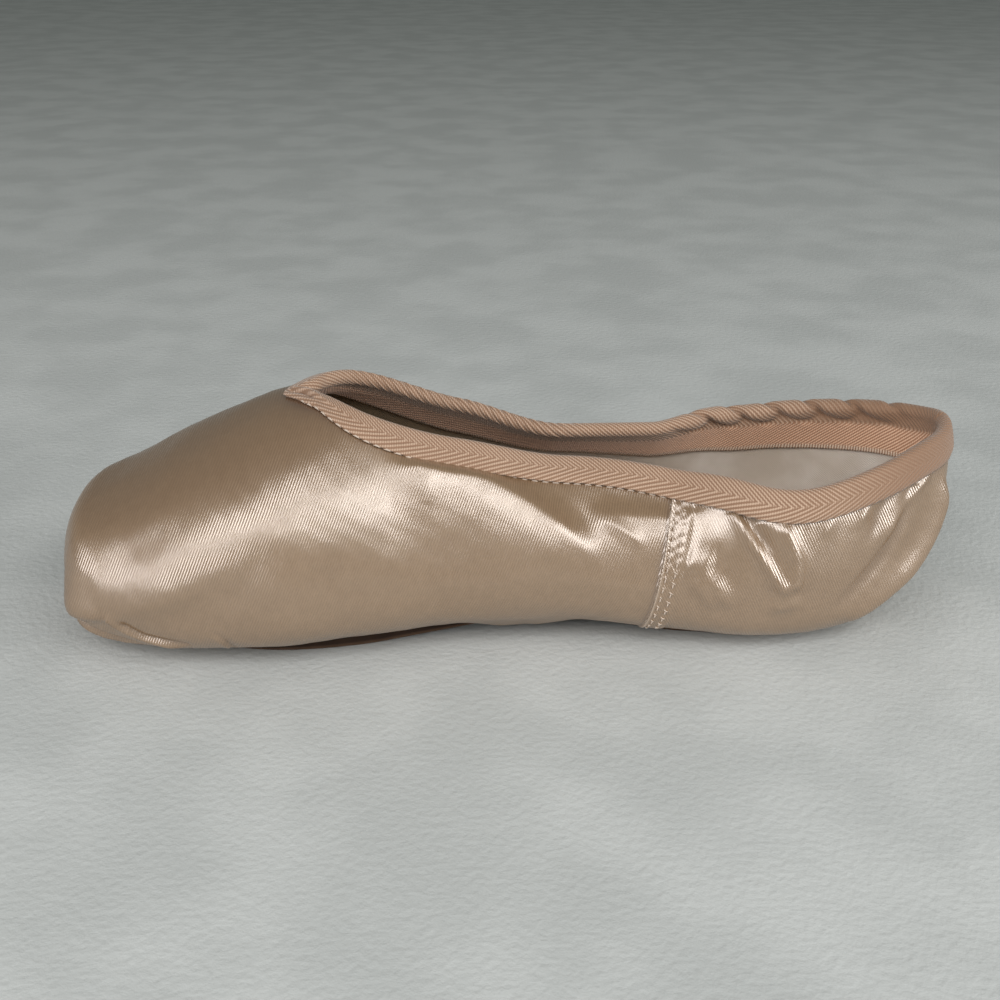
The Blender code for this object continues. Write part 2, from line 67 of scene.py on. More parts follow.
# Sections of the last: station is a share of the length, half width of half the ball,
# heights of the instep; the last two are the powers of the upper and lower halves.
sections = np.array([
    # station, half width, widest, floor, crown, top power, bottom power
    (0.000, 0.530, 0.290, 0.0754, 0.554, 2.00, 3.15),
    (0.066, 0.785, 0.301, 0.0480, 0.633, 2.34, 3.28),
    (0.152, 0.952, 0.314, 0.0400, 0.785, 2.24, 3.12),
    (0.247, 1.000, 0.333, 0.0430, 0.926, 2.09, 2.90),
    (0.334, 0.929, 0.344, 0.0520, 0.999, 1.89, 2.72),
    (0.446, 0.825, 0.354, 0.0684, 0.931, 1.56, 2.57),
    (0.563, 0.777, 0.347, 0.0684, 0.789, 1.52, 2.59),
    (0.671, 0.793, 0.311, 0.0450, 0.808, 1.60, 2.98),
    (0.766, 0.842, 0.292, 0.0370, 0.986, 1.80, 3.50),
    (0.865, 0.796, 0.343, 0.0360, 1.066, 1.86, 3.59),
    (1.000, 0.683, 0.600, 0.0430, 1.174, 2.16, 2.57),
])

# Satin edge round the opening, throat to heel; sag is the difference of the two sides.
collar = np.array([
    # station, half width, height, sag
    (0.279, 0.000, 0.960, 0.000),
    (0.286, 0.120, 0.957, 0.000),
    (0.306, 0.245, 0.945, 0.000),
    (0.337, 0.358, 0.918, 0.000),
    (0.380, 0.398, 0.870, 0.000),
    (0.433, 0.378, 0.817, 0.000),
    (0.498, 0.335, 0.763, 0.000),
    (0.563, 0.292, 0.718, 0.000),
    (0.606, 0.308, 0.700, 0.000),
    (0.649, 0.366, 0.693, 0.000),
    (0.692, 0.455, 0.693, 0.006),
    (0.735, 0.572, 0.693, 0.014),
    (0.779, 0.666, 0.689, 0.026),
    (0.822, 0.664, 0.696, 0.034),
    (0.865, 0.600, 0.714, 0.026),
    (0.908, 0.508, 0.741, 0.012),
    (0.951, 0.365, 0.770, 0.000),
    (0.983, 0.180, 0.788, 0.000),
    (0.989, 0.000, 0.793, 0.000),
])

# Outline of the outsole, tip to heel: half width is a share of half the sole.
soleOutline = np.array([
    # station, half width
    (0.117, 0.00), (0.124, 0.34), (0.145, 0.64), (0.180, 0.87),
    (0.233, 1.00), (0.300, 0.97), (0.380, 0.80), (0.470, 0.61),
    (0.540, 0.56), (0.620, 0.60), (0.700, 0.72), (0.770, 0.80),
    (0.830, 0.77), (0.875, 0.62), (0.898, 0.34), (0.905, 0.00),
])

# Underside of the outsole: the runs of zero are its two flat spots.
soleLift = np.array([
    # station, lift in millimetres
    (0.117, 1.2), (0.150, 0.3), (0.170, 0.0), (0.330, 0.0), (0.400, 0.9), (0.500, 2.4),
    (0.580, 2.2), (0.650, 0.7), (0.690, 0.0), (0.860, 0.0), (0.880, 0.2), (0.905, 1.4),
])

# How the columns of the upper fan out of a spine inside the shoe.
fan = {
    "toeCentre": 0.232,
    "heelCentre": 0.845,
    "spineHeight": 0.38,
    "throatArc": 8.5 * mm,
    "seamStation": 0.676,
    "seamSlant": 8.5 * mm,
    "seamReach": 30 * mm,
}


def smoothTable(keys, values, at):
    # Monotone cubic through a table, flat outside its ends.
    step = np.diff(keys)
    slope = np.diff(values) / step
    left, right = slope[:-1], slope[1:]
    same = left * right > 0
    a = 2 * step[1:] + step[:-1]
    b = step[1:] + 2 * step[:-1]
    bend = (a + b) / (a / np.where(same, left, 1.0) + b / np.where(same, right, 1.0))
    tangent = np.concatenate([slope[:1], np.where(same, bend, 0.0), slope[-1:]])
    at = np.clip(at, keys[0], keys[-1])
    i = np.clip(np.searchsorted(keys, at, side="right") - 1, 0, len(step) - 1)
    h = step[i]
    u = (at - keys[i]) / h
    return (values[i] * (1 + 2 * u) * (1 - u) ** 2 + values[i + 1] * u * u * (3 - 2 * u)
            + h * tangent[i] * u * (1 - u) ** 2 - h * tangent[i + 1] * u * u * (1 - u))


def ease(value, low, high):
    # 0 below low, 1 above high, smooth between.
    u = np.clip((value - low) / (high - low), 0, 1)
    return u * u * (3 - 2 * u)


def bell(value, centre, width):
    # 1 at the centre, exp(-1) one width away from it.
    return np.exp(-((value - centre) / width) ** 2)


def unit(v):
    # Vectors over their own length.
    return v / np.maximum(np.linalg.norm(v, axis=-1, keepdims=True), 1e-12)


def along(curve, length, where):
    # Points of a curve at running lengths.
    return np.stack([np.interp(where, length, curve[:, k]) for k in range(3)], -1)


def stationX(station):
    # x of a station: toe plus station times length.
    return shoe["toeX"] + np.asarray(station) * shoe["length"]


def stationOf(x):
    # Station of an x: (x - toe) over length.
    return (x - shoe["toeX"]) / shoe["length"]


# the spine inside the shoe runs from one end fan to the other
spineToe, spineHeel = stationX(fan["toeCentre"]), stationX(fan["heelCentre"])


def arcLength(curve):
    # Running length of a polyline whose points lie on the second last axis.
    step = np.linalg.norm(np.diff(curve, axis=-2), axis=-1)
    return np.concatenate([np.zeros(step.shape[:-1] + (1,)), np.cumsum(step, axis=-1)], axis=-1)


def closedSpline(points, count):
    # Periodic cubic spline through points by chord length, as count even points.
    points = np.asarray(points, float)
    n = len(points)
    h = np.linalg.norm(np.roll(points, -1, 0) - points, axis=1)
    before = np.roll(h, 1)
    matrix = np.zeros((n, n))
    index = np.arange(n)
    matrix[index, index] = 2 * (before + h)
    matrix[index, (index + 1) % n] += h
    matrix[index, (index - 1) % n] += before
    rise = (np.roll(points, -1, 0) - points) / h[:, None]
    bend = np.linalg.solve(matrix, 6 * (rise - np.roll(rise, 1, 0)))
    u = np.linspace(0, 1, 60, endpoint=False)[None, :, None]
    hh = (h * h)[:, None, None] / 6
    curve = (points[:, None] * (1 - u) + np.roll(points, -1, 0)[:, None] * u
             + hh * (((1 - u) ** 3 - (1 - u)) * bend[:, None]
                     + (u ** 3 - u) * np.roll(bend, -1, 0)[:, None])).reshape(-1, 3)
    wrapped = np.vstack([curve, curve[:1]])
    length = arcLength(wrapped)
    want = np.linspace(0, length[-1], count, endpoint=False)
    return along(wrapped, length, want)


def rounded(share, reach, power):
    # (1 - k^n)^(1/n), with k falling from 1 at the very end of the shoe to 0 at reach.
    k = np.clip(1 - share * shoe["length"] / reach, 0, 1)
    return np.clip(1 - k ** power, 1e-9, None) ** (1 / power)


def section(x):
    # Half width, widest height, reach up and down, and both powers of the section at x.
    station = stationOf(x)
    half, widest, floor, crown, top, bottom = (
        smoothTable(sections[:, 0], sections[:, k], station) for k in range(1, 7))
    toe = rounded(station, shoe["toeRound"], shoe["toePower"])
    plan, side = (rounded(1 - station, shoe["heelRound"], shoe[key])
                  for key in ("heelPlanPower", "heelSidePower"))
    half = half * shoe["halfBall"] * toe * plan
    up = (crown - widest) * shoe["instep"] * toe * side
    down = (widest - floor) * shoe["instep"] * toe * side
    return half, widest * shoe["instep"], up, down, top, bottom


def outside(p):
    # Below 0 inside the last, above 0 outside: (y / half)^n + (dz / reach)^n against 1.
    half, widest, up, down, top, bottom = section(p[..., 0])
    over = p[..., 2] - widest
    power = np.where(over > 0, top, bottom)
    reach = np.where(over > 0, up, down)
    ratio = (np.abs(p[..., 1]) / half) ** power + (np.abs(over) / reach) ** power
    beyond = np.maximum(np.abs(stationOf(p[..., 0]) - 0.5) - 0.5, 0) * shoe["length"] * 1e3
    return np.clip(ratio, 0, 1e6) ** (1 / power) - 1 + beyond


def hit(start, direction):
    # Where a ray from inside the last leaves it, by halving.
    near = np.zeros(direction.shape[:-1])
    far = np.full(direction.shape[:-1], 0.2)
    for _ in range(30):
        middle = (near + far) / 2
        out = outside(start + direction * middle[..., None]) > 0
        far = np.where(out, middle, far)
        near = np.where(out, near, middle)
    return start + direction * near[..., None]


def lastNormal(p):
    # Outward normal of the last from differences of its measure.
    d = 4e-5
    core = np.stack([p[..., 0] * 0.5, p[..., 1] * 0, p[..., 2] * 0 + 0.022], -1)
    q = p + unit(core - p) * 5e-5
    return unit(np.stack([outside(q + d * e) - outside(q - d * e) for e in np.eye(3)], -1))


def underside(x, y):
    # Height of the last's floor at a plan point.
    half, widest, up, down, top, bottom = section(x)
    ratio = np.clip(np.abs(y) / half, 0, 0.999) ** bottom
    return widest - down * (1 - ratio) ** (1 / bottom)


def soleLoop(inset, count=1440):
    # Closed plan outline of the outsole moved in by inset, from the tip round.
    half = np.stack([stationX(soleOutline[:, 0]), soleOutline[:, 1] * shoe["soleHalf"],
                     soleOutline[:, 0] * 0], -1)
    loop = closedSpline(np.vstack([half, half[1:-1][::-1] * [1, -1, 1]]), count)
    ahead = np.roll(loop, -1, 0) - np.roll(loop, 1, 0)
    return loop - unit(np.stack([-ahead[:, 1], ahead[:, 0], ahead[:, 2] * 0], -1)) * inset


def halfCurve(loop, side):
    # The half of a closed loop on one side, front to back, with its running length.
    n = len(loop)
    half = loop[: n // 2 + 1]
    if np.mean(half[:, 1]) * side < 0:
        half = np.vstack([loop[n // 2:], loop[:1]])[::-1]
    return half, arcLength(half)


def matched(half, length, x, turn, slant, throat):
    # Point of a half curve for each column; the toe's columns share the arc throat.
    reached = np.maximum.accumulate(half[:, 0])
    last = np.interp(spineHeel, reached, length)
    arc = np.interp(x - slant, reached, length)
    first = throat
    if throat == 0:
        first = np.interp(spineToe, reached, length)
    else:
        join = throat * 3.4
        joinX = np.interp(join, length, half[:, 0])
        catchUp = np.clip((x - spineToe) / (joinX - spineToe), 0, 1) ** 1.25
        arc = np.where(x < joinX, throat + (join - throat) * catchUp, arc)
    quarter = np.pi / 2
    arc = np.where(x <= spineToe + 1e-9, first * (np.pi - turn) / quarter, arc)
    arc = np.where(x >= spineHeel - 1e-9,
                   last + (length[-1] - last) * (quarter - turn) / quarter, arc)
    return along(half, length, arc)


def lastColumns(toeCount, heelCount, side, rows, start=0.0):
    # Columns from the turned-in edge to the collar: rays fan from the spine, bent through
    # the sideways heading by (1-t)^2 low + 2t(1-t) heading + t^2 high, out to the last.
    # side holds the spine places between the two end fans, start the first t kept.
    toeTurn = np.linspace(np.pi, np.pi / 2, toeCount + 1)
    heelTurn = np.linspace(np.pi / 2, 0, heelCount + 1)
    x = np.concatenate([toeTurn * 0 + spineToe, side, heelTurn * 0 + spineHeel])
    turn = np.concatenate([toeTurn, side * 0 + np.pi / 2, heelTurn])
    slant = fan["seamSlant"] * bell(x, stationX(fan["seamStation"]) + 2 * mm, fan["seamReach"])
    rim = np.stack([stationX(collar[:, 0]), -collar[:, 1] * shoe["halfBall"],
                    (collar[:, 2] - collar[:, 3]) * shoe["instep"]], -1)
    farRim = rim * [1, -1, 1] + np.outer(collar[:, 3] * 2 * shoe["instep"], [0, 0, 1])
    rimLoop = closedSpline(np.vstack([rim, farRim[1:-1][::-1]]), 1440)
    footLoop = soleLoop(shoe["margin"])
    t = np.linspace(start, 1, rows)[None, :, None]
    halves = []
    for hand in (-1, 1):
        foot = matched(*halfCurve(footLoop, hand), x, turn, slant, 0)
        foot[:, 2] = underside(foot[:, 0], foot[:, 1])
        top = matched(*halfCurve(rimLoop, hand), x, turn, slant * 0, fan["throatArc"])
        spine = np.stack([x - slant / 2, x * 0,
                          x * 0 + fan["spineHeight"] * shoe["instep"]], -1)
        heading = np.stack([np.cos(turn), hand * np.sin(turn), turn * 0], -1)
        low, high = unit(foot - spine), unit(top - spine)
        rays = ((1 - t) ** 2 * low[:, None] + 2 * t * (1 - t) * heading[:, None]
                + t * t * high[:, None])
        halves.append(hit(spine[:, None] + rays * 0, unit(rays)))
    near, far = halves
    points = np.concatenate([near, far[1:-1][::-1]])
    behind = np.where(np.abs(turn - np.pi / 2) < 1e-9, x - stationX(fan["seamStation"]), -1)
    behind = np.where(x >= spineHeel - 1e-9, 0.09, behind)
    return {"points": points, "arc": arcLength(points),
            "behind": np.concatenate([behind, behind[1:-1][::-1]]),
            "hand": np.concatenate([x * 0 - 1, x[1:-1] * 0 + 1])}


def evenSpine(count):
    # Even spine places between the two end fans.
    return np.linspace(spineToe, spineHeel, count + 2)[1:-1]


def pick(points, arc, where):
    # Points of each column at running lengths where, shape columns by rows.
    i = np.stack([np.searchsorted(arc[k], where[k]) for k in range(len(arc))])
    i = np.clip(i, 1, arc.shape[1] - 1)
    rowIndex = np.arange(len(arc))[:, None]
    low, high = arc[rowIndex, i - 1], arc[rowIndex, i]
    u = ((where - low) / np.maximum(high - low, 1e-12))[..., None]
    return points[rowIndex, i - 1] * (1 - u) + points[rowIndex, i] * u


def wallThickness(points, share):
    # Stiff box, thin quarters, counter at the heel, thin at both edges.
    x = points[..., 0]
    box = 1 - ease(x, stationX(0.27), stationX(0.42))
    counter = ease(x, stationX(0.76), stationX(0.86))
    wall = (shoe["quarterWall"] + (shoe["boxWall"] - shoe["quarterWall"]) * box
            + (shoe["counterWall"] - shoe["quarterWall"]) * counter)
    edge = shoe["edgeWall"]
    wall = edge + (wall - edge) * ease(share, 0.02, 0.22)
    return edge + (wall - edge) * ease(1 - share, 0.0, 0.16)


def gridMesh(name, points, closedRows=True):
    # A tube or torus from an array of columns by rows: columns always close round.
    columns, rows = points.shape[:2]
    i, r = np.meshgrid(np.arange(columns), np.arange(rows if closedRows else rows - 1),
                       indexing="ij")
    j, s = (i + 1) % columns, (r + 1) % rows
    faces = np.stack([i * rows + r, i * rows + s, j * rows + s, j * rows + r], -1)
    return meshFrom(name, points.reshape(-1, 3), faces.reshape(-1, 4))


def meshFrom(name, verts, faces):
    # One object at the origin from arrays of points and quads, shaded smooth.
    mesh = bpy.data.meshes.new(name)
    mesh.vertices.add(len(verts))
    mesh.vertices.foreach_set("co", np.ascontiguousarray(verts, np.float32).ravel())
    mesh.loops.add(faces.size)
    mesh.loops.foreach_set("vertex_index", faces.astype(np.int32).ravel())
    mesh.polygons.add(len(faces))
    mesh.polygons.foreach_set("loop_start",
                              np.arange(0, faces.size, faces.shape[1], dtype=np.int32))
    mesh.update(calc_edges=True)
    mesh.polygons.foreach_set("use_smooth", np.ones(len(faces), bool))
    mesh.validate()
    item = bpy.data.objects.new(name, mesh)
    bpy.context.scene.collection.objects.link(item)
    if signedVolume(verts, faces) < 0:
        mesh.flip_normals()
    return item


def signedVolume(verts, faces):
    # Sum over the fan of every face of a . (b x c) / 6.
    total = 0.0
    for k in range(1, faces.shape[1] - 1):
        a, b, c = verts[faces[:, 0]], verts[faces[:, k]], verts[faces[:, k + 1]]
        total += np.einsum("ij,ij->", a, np.cross(b, c)) / 6
    return total


def setAttribute(item, name, *blocks):
    # A vector on every point, read by the material, from blocks of columns by rows.
    values = np.concatenate(blocks, axis=1)
    layer = item.data.attributes.new(name, "FLOAT_VECTOR", "POINT")
    layer.data.foreach_set("vector", np.ascontiguousarray(values, np.float32).ravel())


def setCorners(item, name, values, whole):
    # A map on the corners of a closed grid; the first value runs on past the last column.
    columns, rows = values.shape[:2]
    mesh = item.data
    vertex = np.empty(len(mesh.loops), np.int32)
    mesh.loops.foreach_get("vertex_index", vertex)
    flat = values.reshape(-1, 2)[vertex]
    column = np.repeat(np.arange(len(mesh.polygons)) // (len(mesh.polygons) // columns), 4)
    flat[:, 0] += whole * ((column == columns - 1) & (vertex // rows == 0))
    layer = mesh.uv_layers.new(name=name)
    layer.data.foreach_set("uv", np.ascontiguousarray(flat, np.float32).ravel())


def finishPiece(item, material, slotName, *nodes):
    # Material and body of a piece, and the nodes it is shown instead of.
    item.data.materials.append(material)
    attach(item, "root")
    if nodes:
        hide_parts(*nodes)


class Wire:
    # A shader socket on which sums, differences, products and quotients can be written.
    def __init__(self, graph, socket):
        self.graph, self.socket = graph, socket

    def maths(self, how, *others):
        return self.graph.node("ShaderNodeMath", {"operation": how}, [self, *others])

    def __add__(self, other):
        return self.maths("ADD", other)

    def __sub__(self, other):
        return self.maths("SUBTRACT", other)

    def __rsub__(self, other):
        return self.graph.node("ShaderNodeMath", {"operation": "SUBTRACT"}, [other, self])

    def __mul__(self, other):
        return self.maths("MULTIPLY", other)

    def __truediv__(self, other):
        return self.maths("DIVIDE", other)

    __radd__, __rmul__ = __add__, __mul__

    def wave(self):
        return self.maths("SINE")

    def between(self, low, high, a=0.0, b=1.0):
        # from a to b, smooth, while the value goes from low to high
        return self.graph.node("ShaderNodeMapRange", {"interpolation_type": "SMOOTHSTEP"},
                               [self, low, high, a, b])


class Graph:
    # One material with a Principled shader and the nodes that feed it.
    def __init__(self, name, **constants):
        self.material = bpy.data.materials.new(name)
        self.material.use_nodes = True
        self.tree = self.material.node_tree
        self.shader = self.tree.nodes["Principled BSDF"]
        for key, value in constants.items():
            self.shader.inputs[key].default_value = value

    def node(self, kind, settings, sockets, out=0):
        # any node from its type, its settings and the values or links of its sockets
        made = self.tree.nodes.new(kind)
        for key, value in settings.items():
            setattr(made, key, value)
        pairs = sockets.items() if isinstance(sockets, dict) else enumerate(sockets)
        for key, value in pairs:
            if isinstance(value, Wire):
                self.tree.links.new(value.socket, made.inputs[key])
            elif value is not None:
                made.inputs[key].default_value = value
        return Wire(self, made.outputs[out])

    def feed(self, name, wire):
        self.tree.links.new(wire.socket, self.shader.inputs[name])

    def attribute(self, name):
        return self.split(self.node("ShaderNodeAttribute", {"attribute_name": name}, [],
                                    "Vector"))

    def split(self, vector):
        return [self.node("ShaderNodeSeparateXYZ", {}, [vector], k) for k in range(3)]

    def place(self):
        return self.node("ShaderNodeTexCoord", {}, [], "Object")

    def noise(self, where, scale, detail=2.0):
        return self.node("ShaderNodeTexNoise", {},
                         {"Vector": where, "Scale": scale, "Detail": detail})

    def mix(self, factor, a, b):
        colours = [(*c, 1) if isinstance(c, tuple) else c for c in (a, b)]
        return self.node("ShaderNodeMix", {"data_type": "RGBA"},
                         {0: factor, 6: colours[0], 7: colours[1]}, 2)

    def bump(self, height, distance, strength=1.0):
        return self.node("ShaderNodeBump", {},
                         {"Height": height, "Distance": distance, "Strength": strength})


seam = {"width": 5.0 * mm, "step": 0.42 * mm, "edge": 0.30 * mm, "pitch": 2.6 * mm,
        "pucker": 0.09 * mm}

# Creases and soft folds of the near side of the satin, mirrored a little weaker to the far
# side. Depth outwards and the widths to either side (below or toe, above or heel) are in
# millimetres; edge 2 is round and 1 a crisp crest; fades are the shares lost at each end;
# the path runs through stations and heights in thousandths of the length and the instep.
folds = [
    # depth, below, above, edge, fade, fade, path
    # shoulder of the box
    (1.2, 5.5, 10.0, 2, 0.02, 0.45, ((16, 240), (52, 285), (83, 300), (120, 365), (177, 472),
     (219, 547), (270, 618), (322, 677))),
    (-0.5, 6.0, 5.0, 2, 0.30, 0.50, ((50, 430), (91, 488), (134, 563), (177, 631))),
    (1.0, 4.0, 7.0, 1.3, 0.10, 0.60, ((70, 235), (82, 255), (103, 307), (133, 347), (176, 397),
     (219, 456))),
    (3.2, 12.0, 3.8, 1.9, 0.15, 0.35, ((362, 765), (405, 762), (446, 731), (478, 682),
     (511, 619), (538, 561), (560, 509), (581, 449), (600, 400))),
    (0.5, 1.2, 2.0, 1.6, 0.40, 0.40, ((590, 570), (618, 520), (645, 465))),
    (1.6, 10.0, 3.6, 2, 0.40, 0.00, ((572, 575), (620, 560), (668, 550))),
    (0.55, 2.6, 3.4, 2, 0.20, 0.40, ((688, 600), (698, 530), (708, 450))),
    (1.0, 3.0, 4.5, 2, 0.30, 0.30, ((682, 425), (698, 415), (716, 405))),
    (1.0, 1.6, 2.4, 2, 0.35, 0.35, ((688, 390), (704, 310), (722, 220))),
    (1.0, 1.6, 2.4, 2, 0.35, 0.35, ((704, 400), (720, 320), (738, 230))),
    (1.0, 2.0, 6.0, 2, 0.30, 0.30, ((772, 270), (790, 260), (812, 290))),
    # the V under the tape
    (1.3, 1.5, 1.5, 1.8, 0.00, 0.10, ((735, 610), (748, 530), (763, 456), (795, 285))),
    (-1.3, 1.1, 1.9, 2, 0.00, 0.60, ((741, 620), (756, 558), (770, 488), (780, 387))),
    (1.9, 4.2, 1.4, 1.7, 0.00, 0.15, ((781, 610), (792, 535), (804, 423), (802, 300))),
    (0.5, 1.4, 1.2, 1.6, 0.00, 0.60, ((838, 600), (830, 500))),
    (0.9, 2.2, 1.4, 1.6, 0.00, 0.40, ((884, 670), (876, 600), (866, 520))),
    (-0.8, 1.7, 1.9, 2, 0.00, 0.40, ((908, 670), (893, 570), (884, 450))),
    (0.9, 2.0, 1.6, 1.6, 0.00, 0.35, ((956, 680), (930, 600), (911, 515), (900, 440))),
    (-1.0, 2.0, 2.2, 2, 0.00, 0.30, ((932, 660), (923, 534), (908, 429), (876, 310),
     (840, 160))),
    # round the heel
    (2.9, 4.4, 3.0, 1.9, 0.20, 0.45, ((981, 670), (980, 550), (971, 438), (949, 332),
     (911, 232), (877, 152), (864, 118))),
    (2.0, 3.5, 5.0, 2, 0.40, 0.40, ((440, 105), (510, 92), (585, 105))),
    # over the roll at the toe
    (1.6, 1.6, 5.0, 2, 0.40, 0.30, ((10, 215), (28, 220), (50, 238), (78, 262))),
]

# Pleats where the satin is drawn in under the toe, in the same terms.
pleats = [
    (0.85, 1.8, 0.6, 1.5, 0.10, 0.15, ((68, 262), (80, 232), (99, 187), (118, 158),
     (155, 122))),
    (-1.2, 0.6, 1.1, 1.3, 0.25, 0.10, ((82, 245), (90, 222), (108, 180), (132, 160),
     (160, 142))),
    (0.55, 1.0, 0.5, 1.5, 0.10, 0.20, ((12, 190), (24, 150), (41, 130), (74, 107), (110, 108))),
    (-1.15, 0.6, 1.0, 1.3, 0.10, 0.25, ((16, 190), (28, 162), (48, 148), (72, 131),
     (115, 124))),
    (0.5, 1.6, 0.5, 1.5, 0.35, 0.10, ((174, 235), (191, 197), (199, 120))),
    (-0.6, 0.5, 0.9, 1.3, 0.30, 0.10, ((178, 228), (194, 190), (203, 120))),
]


def onSide(station, height, hand):
    # Point of the last at a station and height: y = half (1 - (dz / reach)^n)^(1 / n).
    x = stationX(station)
    half, widest, up, down, top, bottom = section(x)
    over = height * shoe["instep"] - widest
    power = np.where(over > 0, top, bottom)
    reach = np.where(over > 0, up, down)
    ratio = np.clip(np.abs(over) / reach, 0, 0.999) ** power
    return np.stack([x, hand * half * (1 - ratio) ** (1 / power), widest + over], -1)


def foldHeight(points, normals, table, steps=26):
    # Sum of every fold: depth exp(-(d / width)^edge), d to the nearest point of its path
    # and the width that of the side of the path the point lies on.
    height = np.zeros(points.shape[:-1])
    t = np.linspace(0, 1, steps)
    for hand, share, shift in ((-1, 1.0, 0.0), (1, 0.9, 0.004)):
        for depth, below, above, edge, fadeIn, fadeOut, path in table:
            knots = np.array(path) / 1000
            at = t * (len(knots) - 1)
            station, level = (smoothTable(np.arange(len(knots)), knots[:, k], at)
                              for k in (0, 1))
            path = onSide(np.clip(station + shift, 0.004, 0.996), level, hand)
            reach = 3 * max(below, above) * mm
            close = np.all((points > path.min(0) - reach) & (points < path.max(0) + reach),
                           axis=-1)
            p, n = points[close], normals[close]
            best = np.full(len(p), 1.0)
            signed, place = np.zeros(len(p)), np.zeros(len(p))
            for k in range(steps - 1):
                step = path[k + 1] - path[k]
                u = np.clip((p - path[k]) @ step / (step @ step), 0, 1)
                away = p - path[k] - u[:, None] * step
                d = np.linalg.norm(away, axis=1)
                nearer = d < best
                best = np.where(nearer, d, best)
                up = np.einsum("ij,ij->i", np.cross(n, step), away) * -hand
                signed = np.where(nearer, up, signed)
                place = np.where(nearer, (k + u) / (steps - 1), place)
            width = np.where(signed > 0, above, below) * mm
            fade = ease(place, 0, fadeIn + 1e-6) * ease(1 - place, 0, fadeOut + 1e-6)
            height[close] += depth * share * mm * fade * np.exp(-(best / width) ** edge)
    return height


def clothWaves(p):
    # Slight unevenness of the cloth: a few long crossed sines.
    x, y, z = (p[..., k] / mm for k in range(3))
    return (np.sin(x * 0.21 + z * 0.33 + 1.3) * np.sin(y * 0.19 - z * 0.24)
            + 0.6 * np.sin(x * 0.47 - z * 0.41) * np.sin(x * 0.13 + y * 0.37 + 2.0)
            + 0.35 * np.sin(x * 1.05 + z * 0.45 + 0.6 * np.sin(z * 0.3))
            * np.sin(z * 0.83 - x * 0.21)) * 0.085 * mm


def seamHeight(columns, at, below):
    # Turned allowance behind each side seam: a step with a small bead on its front edge,
    # dimpled by its stitches.
    q = columns["behind"][:, None]
    band = ease(q, -seam["edge"], seam["edge"])
    band = band * (1 - ease(q, seam["width"], seam["width"] + 1.0 * mm))
    bead = bell(q, 0.5 * mm, 0.45 * mm)
    column = bell(q, 1.5 * mm, 0.7 * mm) + bell(q, 3.6 * mm, 0.7 * mm)
    shift = np.where(q > 2.5 * mm, 0.45, 0.0)
    wave = (np.cos((at / seam["pitch"] - shift) * 2 * np.pi) - 0.6) * column
    fade = ease(below, 0.0, 4 * mm)
    near = (q > -2 * mm) & (q < 8 * mm)
    return np.where(near, fade * (band * (seam["step"] + wave * seam["pucker"])
                                  + bead * 0.16 * mm), 0)


def upperColumns():
    # Columns of the satin, closer together under the V at the heel and at the side seam.
    size = {"toe": 92, "side": 142, "heel": 56}
    x = np.linspace(spineToe, spineHeel, 400)
    crowd = np.cumsum(1 + 1.1 * bell(stationOf(x), 0.765, 0.045))
    side = np.interp(np.linspace(crowd[0], crowd[-1], size["side"] + 2)[1:-1], crowd, x)
    extra = stationX(fan["seamStation"]) + np.concatenate(
        [np.linspace(-0.6, 1.4, 9), np.linspace(1.8, 6.6, 9)]) * mm
    return lastColumns(size["toe"], size["heel"], np.sort(np.concatenate([side, extra])), 181)


def satinSurface(columns, share):
    # The satin at shares of each column's run: the last with its seam, folds and pleats.
    points, arc = columns["points"], columns["arc"]
    total = arc[:, -1:]
    at = total * share
    base = pick(points, arc, at)
    normals = lastNormal(base)
    below = total - at
    height = seamHeight(columns, at, below)
    soft = foldHeight(base, normals, folds) + clothWaves(base)
    height += soft * ease(below, 4 * mm, 9 * mm)
    height += foldHeight(base, normals, pleats) + tapePuckers(columns, below)
    depth = skinDepth(base) - 0.1 * mm
    height = np.where(height < 0, depth * np.tanh(height / depth), height)
    return base, normals, height, at, below


def skinDepth(p):
    # Depth of the satin and its backing: half the wall.
    return wallThickness(p, 0.5) * 0.5


def tapePuckers(columns, below):
    # Small gathers of the satin just under the tape, uneven along the rim.
    rim = columns["points"][:, -1]
    run = arcLength(np.vstack([rim, rim[:1]]))[:-1, None]
    wave = np.sin(run / (0.42 * mm) + 2.2 * np.sin(run / (7 * mm))) * (
        0.65 + 0.35 * np.sin(run / (5.3 * mm) + 1))
    place = stationOf(rim[:, :1])
    strength = (0.06 + 0.12 * ease(place, 0.72, 0.80) * (1 - ease(place, 0.92, 0.97))
                + 0.05 * ease(-place, -0.5, -0.35))
    under = np.maximum(below - 5.5 * mm, 0)
    return wave * strength * mm * np.exp(-(under / (2.6 * mm)) ** 1.5) * ease(place, 0.29, 0.32)


def crowdedRows(columns, count):
    # Shares along each column: rows crowd where the pleats are, thin out under the tape.
    points, arc = columns["points"], columns["arc"]
    total = arc[:, -1:]
    toe = 1 - ease(stationOf(points[..., 0]), 0.19, 0.26)
    level = points[..., 2] / shoe["instep"]
    weight = 1 + 3.5 * toe * bell(level, 0.15, 0.075) * (arc > 4 * mm)
    weight = weight * (1 - 0.6 * (total - arc < 5 * mm))
    crowd = np.cumsum(weight * np.gradient(arc, axis=1), axis=1)
    crowd = (crowd - crowd[:, :1]) / (crowd[:, -1:] - crowd[:, :1])
    t = np.linspace(0, 1, count)
    return np.stack([np.interp(t, c, a) for c, a in zip(crowd, arc / total)])


